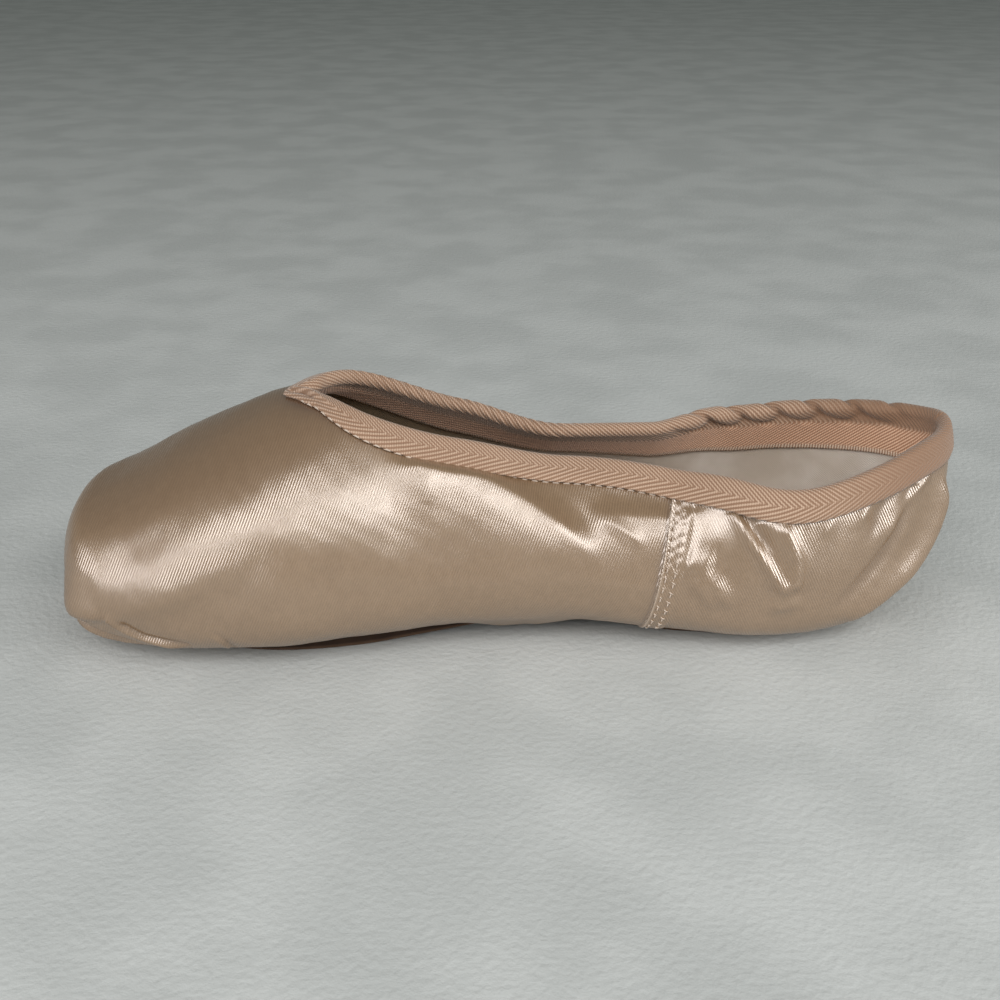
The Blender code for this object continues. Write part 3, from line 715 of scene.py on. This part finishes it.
def buildUpper(columns):
    # Outer face: base + height times normal; back: half a wall in from the last.
    size = {"rows": 152, "innerRows": 7}
    share = crowdedRows(columns, size["rows"])
    base, normals, height, at, below = satinSurface(columns, share)
    outer = base + normals * height[..., None]
    innerShare = np.linspace(1, 0, size["innerRows"])[None]
    total = columns["arc"][:, -1:]
    backBase = pick(columns["points"], columns["arc"], total * innerShare)
    back = backBase - lastNormal(backBase) * skinDepth(backBase)[..., None]
    item = gridMesh("satin_upper", np.concatenate([outer, back], axis=1))
    q = columns["behind"][:, None] + at * 0
    # painted shadow: a thin dark line in front of the seam, cast by the lapped edge
    line = bell(q, -0.45 * mm, 0.30 * mm)
    # painted highlight on the folded edge just behind the seam
    edge = bell(q, 0.25 * mm, 0.25 * mm)
    # third value: painted shadow on the satin just under the tape
    marksAndPaintedLight = np.stack([line, edge, np.exp(-(below - 6.2 * mm) / (1.6 * mm)) * (below > 0)], -1)
    setAttribute(item, "marksAndPaintedLight", marksAndPaintedLight, np.zeros(back.shape))
    station = stationOf(base[..., 0])
    # painted shade: the top of the vamp and the front face of the toe are darkened, where less
    # light falls
    shade = ease(normals[..., 2], 0.5, 0.85) * (1 - ease(station, 0.28, 0.40))
    shade = np.maximum(shade, ease(-normals[..., 0], 0.6, 0.95) * (station < 0.2))
    # second value: painted shade in the creases, stronger where the folds dip in
    panel = np.stack([(q > 0) * 1.0, np.clip(-height / (1.2 * mm), 0, 1), shade], -1)
    setAttribute(item, "panel", panel, np.zeros(back.shape))
    finishPiece(item, satinMaterial(), "satin", "upper")
    print("satin upper", len(item.data.polygons), "quads")


def satinMaterial():
    # Weave: sin(2 pi across / thread) over leaning threads, which lean the other way
    # behind the seam; noise gives the sparkle, in colour and bump alone. Painted shade darkens
    # the creases, the line in front of the seam, the satin under the tape, the top of the vamp
    # and the front of the toe; a painted highlight lightens the seam's folded edge.
    look = {
        "shade": (0.218, 0.126, 0.060), "light": (0.338, 0.215, 0.122), "metal": 0.15,
        "gloss": 2.7, "rough": 0.275, "thread": 0.62 * mm, "lean": 67, "heelLean": 116,
        "threadDepth": 0.042 * mm,
        "paintedShade": (0.16, 0.09, 0.05), "paintedEdgeHighlight": (0.75, 0.60, 0.48),
    }
    g = Graph("satin", Metallic=look["metal"], IOR=look["gloss"], Roughness=look["rough"])
    place = g.place()
    x, _, z = g.split(place)
    # panel: the panel behind the seam, painted crease shade, painted shade on the vamp top and
    # toe front
    panel, paintedCreaseShade, shade = g.attribute("panel")
    drift = g.noise(place, 45, 2.0)
    across = [(x * math.sin(a) - z * math.cos(a)) / look["thread"]
              for a in (math.radians(look["lean"]), math.radians(look["heelLean"]))]
    across = across[0] + (across[1] - across[0]) * panel + drift * 1.1
    lines = (across * (2 * math.pi)).wave()
    fine = g.noise(place, 1900, 1.0)
    blotch = g.noise(place, 30, 2.0)
    mottle = g.noise(place, 420, 2.0)
    tone = (blotch - 0.5) * 0.35 + lines * 0.19 + (fine + mottle - 1) * 0.4 + 0.5
    colour = g.mix(tone.between(0, 1), look["shade"], look["light"])
    # painted shade darkens the creases
    colour = g.mix(paintedCreaseShade * 0.45, colour, look["paintedShade"])
    # painted shadow of the seam line, painted highlight on its folded edge, painted shadow under
    # the tape
    line, edge, tape = g.attribute("marksAndPaintedLight")
    # painted shadow of the seam's lapped edge
    colour = g.mix(line * 0.75, colour, look["paintedShade"])
    # painted highlight on the seam's folded edge
    colour = g.mix(edge * 0.45, colour, look["paintedEdgeHighlight"])
    # painted shadow under the tape and painted shade on the vamp top and toe front
    g.feed("Base Color", g.mix(tape * 0.35 + shade * 0.34, colour, look["paintedShade"]))
    g.feed("Normal", g.bump(lines * 0.8 + (fine + mottle - 1) * 0.6, look["threadDepth"]))
    return g.material


def buildLining():
    # Inner face: base - wall times normal; back: against the back of the satin.
    size = {"toe": 24, "side": 60, "heel": 24, "rows": 60, "shot": 91, "gap": 0.06 * mm,
            "weave": 0.6 * mm}
    columns = lastColumns(size["toe"], size["heel"], evenSpine(size["side"]), size["shot"])
    total = columns["arc"][:, -1:]
    share = np.linspace(0, 1, size["rows"])[None] * (total - 1 * mm) / total
    base = pick(columns["points"], columns["arc"], total * share)
    normals = lastNormal(base)
    wall = wallThickness(base, share) - 0.05 * mm + clothWaves(base * 1.7) * 1.5
    inner = base - normals * wall[..., None]
    depth = (skinDepth(base) + size["gap"])[..., None]
    outer = (base - normals * depth)[:, ::-1][:, ::6]
    item = gridMesh("lining", np.concatenate([inner, outer], axis=1))
    look = {"cloth": (0.70, 0.63, 0.56), "worn": (0.55, 0.47, 0.39),
            "vamp": (0.25, 0.18, 0.11), "rough": 0.9}
    g = Graph("lining_cloth", Roughness=look["rough"])
    place = g.place()
    x, y, z = g.split(place)
    # painted shade: the lining turns dark brown towards the toe, where shade falls inside the
    # vamp
    vamp = x.between(stationX(0.62), stationX(0.40))
    pitch = 2 * math.pi / size["weave"]
    weave = (x * pitch).wave() * ((z + y * 0.5) * pitch).wave()
    colour = g.mix(g.noise(place, 60, 3.0).between(0.3, 0.7), look["worn"], look["cloth"])
    g.feed("Base Color", g.mix(vamp, colour, look["vamp"]))
    g.feed("Normal", g.bump(weave, 0.05 * mm))
    finishPiece(item, g.material, "insole_cloth")
    print("lining", len(item.data.polygons), "quads")


tape = {"outside": 6.6 * mm, "inside": 14.0 * mm, "thick": 0.9 * mm, "gap": 0.3 * mm,
        "narrowOutside": 0.515, "narrowInside": 0.45, "pitch": 2.6 * mm, "bead": 0.6 * mm,
        "turnOutside": 4.2 * mm, "turnInside": 9.5 * mm, "steep": 1.2, "shallow": 2.4,
        "ladder": 0.75 * mm, "ladderWidth": 1.9 * mm, "tip": 2.8 * mm, "slit": 8.5 * mm}

# The cord draws the tape into gathers: a rope of fat puckers along the far side of the heel,
# narrow slanted ones on the far side of the vamp. Sizes in millimetres.
gather = {"rope": 10.2, "ropeLean": 0.9, "ropeDepth": 1.5, "roll": 1.1, "rollAt": 12.4,
          "fine": 2.8, "fineLean": 1.5, "fineDepth": 0.60}


def legWidth(rim, leg, narrow):
    # Width of a leg of the tape, narrower round the throat.
    throat = bell(np.linalg.norm(rim - rim[0], axis=1), 0, 1.3 * fan["throatArc"])
    return (tape[leg] * (1 - tape[narrow] * throat))[:, None]


def tapeShape():
    # The tape's profile carried round the collar: outside leg, half round rim, inside leg,
    # then the back of the tape; returns points and their run along and across.
    size = {"toe": 30, "side": 400, "heel": 90, "shot": 60, "from": 0.55, "legRows": 14,
            "rimRows": 13, "insideRows": 24, "backStep": 3}
    columns = lastColumns(size["toe"], size["heel"], evenSpine(size["side"]), size["shot"],
                          size["from"])
    points, arc = columns["points"], columns["arc"]
    rim = points[:, -1]
    outLeg = legWidth(rim, "outside", "narrowOutside")
    inLeg = legWidth(rim, "inside", "narrowInside")
    total = arc[:, -1:]
    t = np.linspace(0, 1, size["legRows"])[None]
    outBase = pick(points, arc, total - outLeg * (1 - t))
    outNormal = lastNormal(outBase)
    lip = 0.5 + 0.5 * ease(t, 0, 0.22)
    t = np.linspace(0, 1, size["insideRows"])[None]
    inBase = pick(points, arc, total - inLeg * t)
    inNormal = lastNormal(inBase)
    wall = wallThickness(inBase, 1 - inLeg * t / total)
    inBase = inBase - inNormal * wall[..., None]
    middle = (outBase[:, -1] + inBase[:, 0]) / 2
    halfWall = np.linalg.norm(outBase[:, -1] - inBase[:, 0], axis=1) / 2
    upward = unit(rim - pick(points, arc, total - 2 * mm)[:, 0])
    outer = outBase + outNormal * (tape["gap"] + tape["thick"] * lip)[..., None]
    lipIn = 0.5 + 0.5 * ease(1 - t, 0, 0.15)
    inner = inBase - inNormal * (tape["gap"] + tape["thick"] * lipIn)[..., None]
    angle = np.linspace(0, np.pi, size["rimRows"] + 2)[1:-1][None, :, None]
    radius = (halfWall + tape["gap"] + tape["thick"])[:, None, None]
    away = outNormal[:, -1][:, None]
    bow = middle[:, None] + radius * (np.cos(angle) * away + np.sin(angle) * upward[:, None])
    face = np.concatenate([outer, bow, inner], axis=1)
    across = arcLength(face)
    run = arcLength(np.vstack([rim, rim[:1]]))
    normals = gridNormals(face)
    halfGap, step = tape["gap"] * 0.5, size["backStep"]
    backIn = (inBase - inNormal * halfGap)[:, ::-1][:, ::step]
    backTop = middle + (halfWall + halfGap)[:, None] * upward
    backOut = (outBase + outNormal * halfGap)[:, ::-1][:, ::step]
    back = np.concatenate([backIn, backTop[:, None], backOut], axis=1)
    return columns, face, normals, back, run[:-1, None] + across * 0, run[-1], across


def gridNormals(face):
    # Normals of a grid closed ahead its first axis, from the crossed differences.
    ahead = np.roll(face, -1, 0) - np.roll(face, 1, 0)
    over = np.gradient(face, axis=1)
    return unit(np.cross(over, ahead))


def gatherHeight(station, hand, across):
    # Rope: a dent exp(-(u / 0.13)^2) in every rope length and a roll swelling between the
    # dents over the inside leg; fine: the same dents, narrow and more slanted.
    w = across / mm
    x = station * shoe["length"] / mm
    u = (x - gather["ropeLean"] * (w - 9)) / gather["rope"]
    dent = bell(u % 1, 0.5, 0.13)
    swell = np.cos(2 * np.pi * (u + 0.05))
    rope = ease(station, 0.68, 0.74) * (1 - ease(station, 0.94, 0.975))
    rollAt = gather["rollAt"] + 0.8 * swell
    roll = bell(w, rollAt, 2.3) - 0.7 * bell(w, rollAt + 3.0, 0.9)
    height = rope * (gather["roll"] * roll * (0.75 + 0.25 * swell)
                     - gather["ropeDepth"] * dent * bell(w, 11, 3.8))
    v = (x - gather["fineLean"] * (w - 8)) / gather["fine"] + 0.3 * np.sin(x * 0.31)
    dent = bell(v % 1, 0.5, 0.20)
    vamp = ease(station, 0.30, 0.36) * (1 - ease(station, 0.54, 0.62))
    height -= gather["fineDepth"] * vamp * dent * bell(w, 9.5, 3.4)
    height += 0.35 * (1 - rope) * ease(station, 0.33, 0.40) * bell(w, 10.5, 1.8)
    return np.where(hand > 0, height, 0) * mm


def buildBinding():
    # The tape's profile with its gathers, the slit at the throat and the pointed end there.
    columns, face, normals, back, run, whole, across = tapeShape()
    if np.mean(np.sum(normals[:, 0] * (face[:, 0] - face[:, 0].mean(0)), -1)) < 0:
        normals = -normals
    fromThroat = np.minimum(run, whole - run)
    station = stationOf(face[:, 20, 0])[:, None]
    hand = columns["hand"][:, None]
    wide = across[:, -1:]
    height = gatherHeight(station, hand, across)
    # slit under the folded-over end of the tape, on the near side of the throat
    slit = np.where(hand < 0, bell(across, 2.3 * mm + run * 0.10, 0.45 * mm), 0)
    slit = slit * ease(run, 0, 1.2 * mm) * (1 - ease(run, tape["slit"] * 0.7, tape["slit"]))
    roll = np.where(hand < 0, bell(across, 3.5 * mm + run * 0.09, 0.8 * mm), 0)
    roll = roll * (1 - ease(run, tape["slit"], tape["slit"] * 2.4))
    height += -1.1 * mm * slit + 0.55 * mm * roll
    face = face + normals * height[..., None]
    point = bell(fromThroat, 0, 3.2 * mm) * tape["tip"]
    face[..., 0] -= point
    face[..., 2] -= point * 0.30
    back[..., 0] -= point[:, :1]
    back[..., 2] -= point[:, :1] * 0.30
    item = gridMesh("collar_binding_tape", np.concatenate([face, back], axis=1))
    w = across
    turnIn = wide - tape["turnInside"]
    chevron = np.where(w < tape["turnOutside"], (tape["turnOutside"] - w) * tape["shallow"],
                       np.where(w < turnIn, (w - tape["turnOutside"]) * tape["steep"],
                                (turnIn - tape["turnOutside"]) * tape["steep"]
                                - (w - turnIn) * 1.2))
    edge = np.stack([run, chevron], -1)
    zero = np.zeros(back.shape)
    setCorners(item, "twill", np.concatenate([edge, zero[..., :2]], axis=1), whole)
    selvedge = ease(w - wide, -tape["ladderWidth"], -tape["ladderWidth"] + 0.3 * mm)
    # painted shade in the dents of the gathers and in the slit
    dark = np.clip(-height / (0.7 * mm), 0, 1)
    marksAndPaintedLight = np.stack([selvedge, dark, 1 - ease(fromThroat, 30 * mm, 75 * mm)], -1)
    setAttribute(item, "marksAndPaintedLight", marksAndPaintedLight, zero)
    # band: the upper band of the outside leg, the very inside edge, and the inside leg, which is
    # painted lighter
    band = np.stack([ease(w, tape["turnOutside"] - 0.1 * mm, tape["turnOutside"] + 0.1 * mm),
                     ease(w - wide, -0.12 * mm, 0),
                     ease(w - wide, -10.5 * mm, -8.5 * mm)], -1)
    setAttribute(item, "band", band, zero)
    finishPiece(item, tapeMaterial(), "tape", "collar_binding")
    print("binding", len(item.data.polygons), "quads")
    return columns


def tapeMaterial():
    # Ribs: sin(2 pi (run + chevron) / pitch), beaded along the run; a ladder on its edge.
    # Painted shade in the dents and round the heel, painted light on the inside leg.
    look = {"groove": (0.26, 0.145, 0.085), "rib": (0.535, 0.372, 0.270),
            "litInsideGroove": (0.44, 0.215, 0.12), "litInsideRib": (0.88, 0.58, 0.40),
            "pale": (0.95, 0.78, 0.62), "rough": 0.75, "ribDepth": 0.15 * mm}
    g = Graph("twill_tape", **{"Roughness": look["rough"], "Sheen Weight": 0.25,
                               "Sheen Roughness": 0.5})
    run, chevron = g.split(g.node("ShaderNodeUVMap", {"uv_map": "twill"}, []))[:2]
    selvedge, dark, fine = g.attribute("marksAndPaintedLight")
    upper, brim, inside = g.attribute("band")
    place = g.place()
    x = g.split(place)[0]
    drift = g.noise(place, 60)
    phase = ((run + chevron) * (1 / tape["pitch"]) + drift * 0.4) * (2 * math.pi)
    wide = phase.wave() * 0.5 + 0.5
    ribs = wide + ((phase * 2).wave() * 0.5 + 0.5 - wide) * upper
    beads = (run * (2 * math.pi / tape["bead"])).wave() * 0.5 + 0.5
    ladder = (run * (2 * math.pi / tape["ladder"])).wave() * 0.5 + 0.5
    height = ribs * (0.62 - fine * 0.12) + beads * (fine * 0.15 + 0.42) * (ribs * 0.6 + 0.4)
    height = height + (ladder - height) * selvedge
    tone = height.between(0.1, 0.95) + (drift - 0.5) * 0.4
    # painted light: the inside leg takes lighter, warmer copies of the groove and rib colours
    colour = g.mix(tone.between(0, 1), g.mix(inside, look["groove"], look["litInsideGroove"]),
                   g.mix(inside, look["rib"], look["litInsideRib"]))
    colour = g.mix(selvedge * ladder, colour, look["pale"])
    # painted shade: the outer face of the tape is darkened round the heel
    paintedHeelShade = x.between(stationX(0.80), stationX(0.95)) * (1 - inside) * 0.9
    # painted shade in the dents, a darker line along the inside edge, painted shade round the
    # heel
    g.feed("Base Color", g.mix(dark * 0.55 + brim * 0.2 + paintedHeelShade, colour, look["groove"]))
    g.feed("Normal", g.bump(height, look["ribDepth"]))
    return g.material


def threads(name, starts, ends, normals, radius, arch, material, slotName):
    # Threads as bent tubes: start to end, raised by 4 t (1 - t) arch, pointed into the
    # cloth at both ends.
    t = np.linspace(0, 1, 5)
    angle = np.linspace(0, 2 * np.pi, 6, endpoint=False)
    run = unit(ends - starts)
    side = unit(np.cross(normals, run))
    path = (starts[:, None] + (ends - starts)[:, None] * t[None, :, None]
            + normals[:, None] * ((4 * t * (1 - t) * arch - radius * (np.abs(2 * t - 1) > 0.9))
                                  )[None, :, None])
    size = radius * (1 - 0.55 * np.abs(2 * t - 1) ** 3)
    ring = (path[:, :, None] + size[None, :, None, None] * (
        np.cos(angle)[None, None, :, None] * side[:, None, None]
        + np.sin(angle)[None, None, :, None] * normals[:, None, None]))
    count, steps, around = ring.shape[:3]
    verts = ring.reshape(-1, 3)
    c, i, k = np.meshgrid(np.arange(count), np.arange(steps - 1), np.arange(around),
                          indexing="ij")
    a = (c * steps + i) * around
    b = a + around
    n = (k + 1) % around
    sides = np.stack([a + k, a + n, b + n, b + k], -1).reshape(-1, 4)
    first = (np.arange(count) * steps * around)[:, None]
    last = first + (steps - 1) * around
    caps = np.concatenate([first + [0, 5, 4, 3], first + [0, 3, 2, 1],
                           last + [0, 1, 2, 3], last + [0, 3, 4, 5]])
    item = meshFrom(name, verts, np.concatenate([sides, caps]))
    finishPiece(item, material, slotName)


def threadMaterial(name, colour):
    # Pale thread with a faint twist.
    g = Graph(name, **{"Roughness": 0.5, "Sheen Weight": 0.3})
    twist = g.noise(g.place(), 2400, 1.0)
    g.feed("Base Color", g.mix(twist, tuple(0.7 * c for c in colour), colour))
    return g.material


def buildStitches(columns, bindingColumns):
    # Threads at even steps of running length, lifted along the normal of the last.
    look = {"tapeLength": 1.9 * mm, "tapePitch": 2.7 * mm, "radius": 0.24 * mm,
            "thread": (0.68, 0.55, 0.45)}
    pale = threadMaterial("pale_thread", look["thread"])
    # along the lower edge of the tape
    points, arc = bindingColumns["points"], bindingColumns["arc"]
    rim = points[:, -1]
    outLeg = legWidth(rim, "outside", "narrowOutside")
    line = pick(points, arc, arc[:, -1:] - outLeg + 0.1 * mm)[:, 0]
    normal = lastNormal(line)
    length = arcLength(np.vstack([line, line[:1]]))
    places = np.arange(0, length[-1] - look["tapePitch"], look["tapePitch"])
    starts, ends = (along(line, length[:-1], places + d) for d in (0, look["tapeLength"]))
    up = unit(along(normal, length[:-1], places))
    sunk = ease((starts + ends)[:, 0] / 2, stationX(0.36), stationX(0.46)) * 0.55 * mm
    lift = (0.62 * mm - sunk)[:, None] * up
    threads("tape_stitches", starts + lift, ends + lift, up, look["radius"], 0.12 * mm, pale,
            "tape")
    # two columns of short ticks and links beside each side seam
    starts, ends, ups = [], [], []
    for hand in (-1, 1):
        for q0, q1, q2, shift in ((0.9, 2.1, 1.5, 0.0), (3.0, 4.3, 3.5, 0.45)):
            curves = [columns["points"][np.argmin(np.where(columns["hand"] == hand, np.abs(
                columns["behind"] - q * mm), 1))] for q in (q0, q1, q2)]
            runs = [arcLength(curve) for curve in curves]
            low = runs[0][np.argmax(curves[0][:, 2] > 8 * mm)]
            place = np.arange(low, runs[0][-1] - 7.2 * mm, seam["pitch"]) + shift * seam["pitch"]

            def at(k, where):
                # point of curve k at the same share as on the first
                share = where / runs[0][-1] * runs[k][-1]
                return along(curves[k], runs[k], share)

            for p, q in ((at(0, place + 0.35 * mm), at(1, place - 0.25 * mm)),
                         (at(2, place - 0.15 * mm), at(2, place - 1.35 * mm))):
                n = lastNormal((p + q) / 2)
                lift = n * (seam["step"] + 0.06 * mm)
                starts.append(p + lift)
                ends.append(q + lift)
                ups.append(n)
    threads("seam_stitches", np.vstack(starts), np.vstack(ends), np.vstack(ups), 0.17 * mm,
            0.10 * mm, pale, "tape")
    print("stitches done")


def toMiddle(loop, share):
    # Loop drawn in towards its own middle line by a share of its width.
    reach = loop[:, 1].max()
    centre = np.clip(loop[:, 0], loop[:, 0].min() + reach * 0.55, loop[:, 0].max() - reach * 0.45)
    out = loop.copy()
    out[:, 0] += (centre - loop[:, 0]) * share
    out[:, 1] *= 1 - share
    return out


def buildOutsole():
    # Rings from the middle of the top, down the sides, to the middle of the underside.
    size = {"gap": 0.45 * mm, "round": 0.6 * mm, "wear": 1.1 * mm, "step": 4}
    outline, bevel, wear = (soleLoop(inset)[::size["step"]]
                            for inset in (0.0, size["round"], size["wear"]))

    def top(ring, drop=0.0):
        out = ring.copy()
        out[:, 2] = underside(ring[:, 0], ring[:, 1]) - size["gap"] - drop
        return out

    def bottom(ring, lift=0.0):
        out = ring.copy()
        out[:, 2] = smoothTable(soleLift[:, 0], soleLift[:, 1] * mm, stationOf(ring[:, 0])) + lift
        return out

    low, high = bottom(outline, 0.45 * mm), top(outline, 0.4 * mm)
    sides = [high + (low - high) * k for k in (0.0, 0.25, 0.5, 0.72)]
    rough = np.sin(outline[:, :1] / mm * 1.9) * np.sin(outline[:, :1] / mm * 0.83 + 1.0)
    out = unit(outline * [0.02, 1, 0])
    sides = [ring + out * rough * 0.06 * mm for ring in sides]
    loops = [top(toMiddle(outline, k)) for k in (1.0, 0.75, 0.5, 0.25)] + [top(bevel)] + sides
    loops += [low, bottom(bevel), bottom(wear)]
    loops += [bottom(toMiddle(wear, k)) for k in (0.15, 0.3, 0.5, 0.75, 1.0)]
    item = gridMesh("outsole_leather", np.stack(loops, axis=1), closedRows=False)
    rows = len(loops)
    edge = np.zeros((len(outline), rows, 3))
    edge[:, 9:11, 0] = 1
    edge[:, 4:9, 1] = 1
    setAttribute(item, "marksAndPaintedLight", edge)
    look = {"dark": (0.030, 0.015, 0.009), "light": (0.085, 0.047, 0.029),
            "edge": (0.024, 0.012, 0.007), "corner": (0.16, 0.095, 0.06), "rough": 0.82}
    g = Graph("sole_leather", **{"Roughness": look["rough"], "Specular IOR Level": 0.25})
    corner, side = g.attribute("marksAndPaintedLight")[:2]
    place = g.place()
    colour = g.mix(g.noise(place, 140, 4.0).between(0.3, 0.7), look["dark"], look["light"])
    # painted shade: the side of the sole is darkened towards the edge colour
    colour = g.mix(side * 0.8, colour, look["edge"])
    g.feed("Base Color", g.mix(corner * 0.6, colour, look["corner"]))
    g.feed("Normal", g.bump(g.noise(place, 1500, 3.0), 0.12 * mm))
    finishPiece(item, g.material, "sole_leather", "outsole")
    print("outsole", len(item.data.polygons), "quads")


def buildInsole():
    # Rings from the middle of the floor, up inside the lining and back over the top.
    size = {"toe": 16, "side": 60, "heel": 20, "shot": 91, "sock": 2.2 * mm, "gap": 0.3 * mm,
            "reach": 0.20}
    columns = lastColumns(size["toe"], size["heel"], evenSpine(size["side"]), size["shot"])
    total = columns["arc"][:, -1:]
    share = np.linspace(0, size["reach"], 5)[None] + total * 0
    base = pick(columns["points"], columns["arc"], total * share)
    normals = lastNormal(base)
    floor = base - normals * (wallThickness(base, share) + size["gap"])[..., None]
    thick = size["sock"] * np.array([1, 1, 0.97, 0.8, 0.35])
    roof = floor - normals * thick[None, :, None]
    hole = columns["points"][:, 0].copy()

    def level(ring, height):
        moved = ring.copy()
        moved[:, 2] = underside(ring[:, 0], ring[:, 1]) + height
        return moved

    high = shoe["edgeWall"] + size["gap"] + size["sock"]
    loops = [level(toMiddle(hole, 1.0), 0.1 * mm), level(hole, 0.1 * mm), floor[:, 0]]
    loops += [floor[:, k] for k in range(1, 5)] + [roof[:, k] for k in (4, 3, 2, 1, 0)]
    loops += [level(toMiddle(hole, k), high) for k in (0.25, 0.5, 0.75, 1.0)]
    item = gridMesh("insole_sock", np.stack(loops, axis=1), closedRows=False)
    look = {"cloth": (0.72, 0.66, 0.62), "worn": (0.60, 0.52, 0.46), "rough": 0.92}
    g = Graph("sock_cloth", Roughness=look["rough"])
    place = g.place()
    g.feed("Base Color", g.mix(g.noise(place, 45, 3.0).between(0.35, 0.65), look["worn"],
                               look["cloth"]))
    g.feed("Normal", g.bump(g.noise(place, 1200, 2.0), 0.08 * mm))
    finishPiece(item, g.material, "insole_cloth", "insole")
    print("insole", len(item.data.polygons), "quads")


def setCamera():
    # The photograph's viewpoint: 24.6 degrees down, turned 1.9 degrees towards the heel.
    view = {"place": (-13.05 * mm, -320.3 * mm, 178.6 * mm), "down": 24.6, "turn": 1.9,
            "focal": 1331 / 1000 * 36}
    camera = bpy.data.objects.new("camera", bpy.data.cameras.new("camera"))
    bpy.context.scene.collection.objects.link(camera)
    camera.data.lens = view["focal"]
    camera.data.clip_start = 0.01
    camera.location = view["place"]
    camera.rotation_euler = (math.radians(90 - view["down"]), 0, -math.radians(view["turn"]))
    bpy.context.scene.camera = camera


def addLight(name, azimuth, height, distance, size, power, colour):
    # A soft panel aimed at the shoe; azimuth 0 is the camera's side, + towards the heel.
    light = bpy.data.lights.new(name, "AREA")
    light.shape = "RECTANGLE"
    light.size, light.size_y = size
    light.energy = power
    light.color = colour
    item = bpy.data.objects.new(name, light)
    bpy.context.scene.collection.objects.link(item)
    turn, up = math.radians(azimuth), math.radians(height)
    item.location = (distance * math.cos(up) * math.sin(turn),
                     -distance * math.cos(up) * math.cos(turn), 0.03 + distance * math.sin(up))
    item.rotation_euler = (math.pi / 2 - up, 0, turn)


def setStage():
    # Floor, room and four soft lights.
    floor = meshFrom("floor", np.array([(-4, -4, 0), (4, -4, 0), (4, 4, 0), (-4, 4, 0)], float),
                     np.array([[0, 1, 2, 3]]))
    g = Graph("floor_surface", Roughness=0.95)
    patches = g.noise(g.place(), 22, 3.0).between(0.35, 0.65)
    g.feed("Base Color", g.mix(patches, (0.50, 0.52, 0.515), (0.57, 0.59, 0.585)))
    g.feed("Normal", g.bump(g.noise(g.place(), 500, 3.0), 0.6 * mm, 0.5))
    floor.data.materials.append(g.material)
    world = bpy.data.worlds.new("room")
    bpy.context.scene.world = world
    world.use_nodes = True
    world.node_tree.nodes["Background"].inputs[0].default_value = (0.62, 0.66, 0.62, 1)
    world.node_tree.nodes["Background"].inputs[1].default_value = 0.28
    for light in (
            ("window", -10, 38, 1.35, (1.0, 0.5), 8.2, (1.0, 0.99, 0.98)),
            ("left", -60, 15, 1.3, (0.9, 0.55), 6.4, (1.0, 0.98, 0.98)),
            ("right", 29, 44, 1.35, (0.6, 0.5), 4.0, (1.0, 0.99, 0.97)),
            ("low_right", 68, 16, 1.3, (0.9, 0.42), 8.2, (1.0, 0.99, 0.97))):
        addLight(*light)
    bpy.context.scene.view_settings.view_transform = "Standard"


setCamera()
setStage()
satinColumns = upperColumns()
buildUpper(satinColumns)
buildLining()
tapeColumns = buildBinding()
buildStitches(satinColumns, tapeColumns)
buildOutsole()
buildInsole()
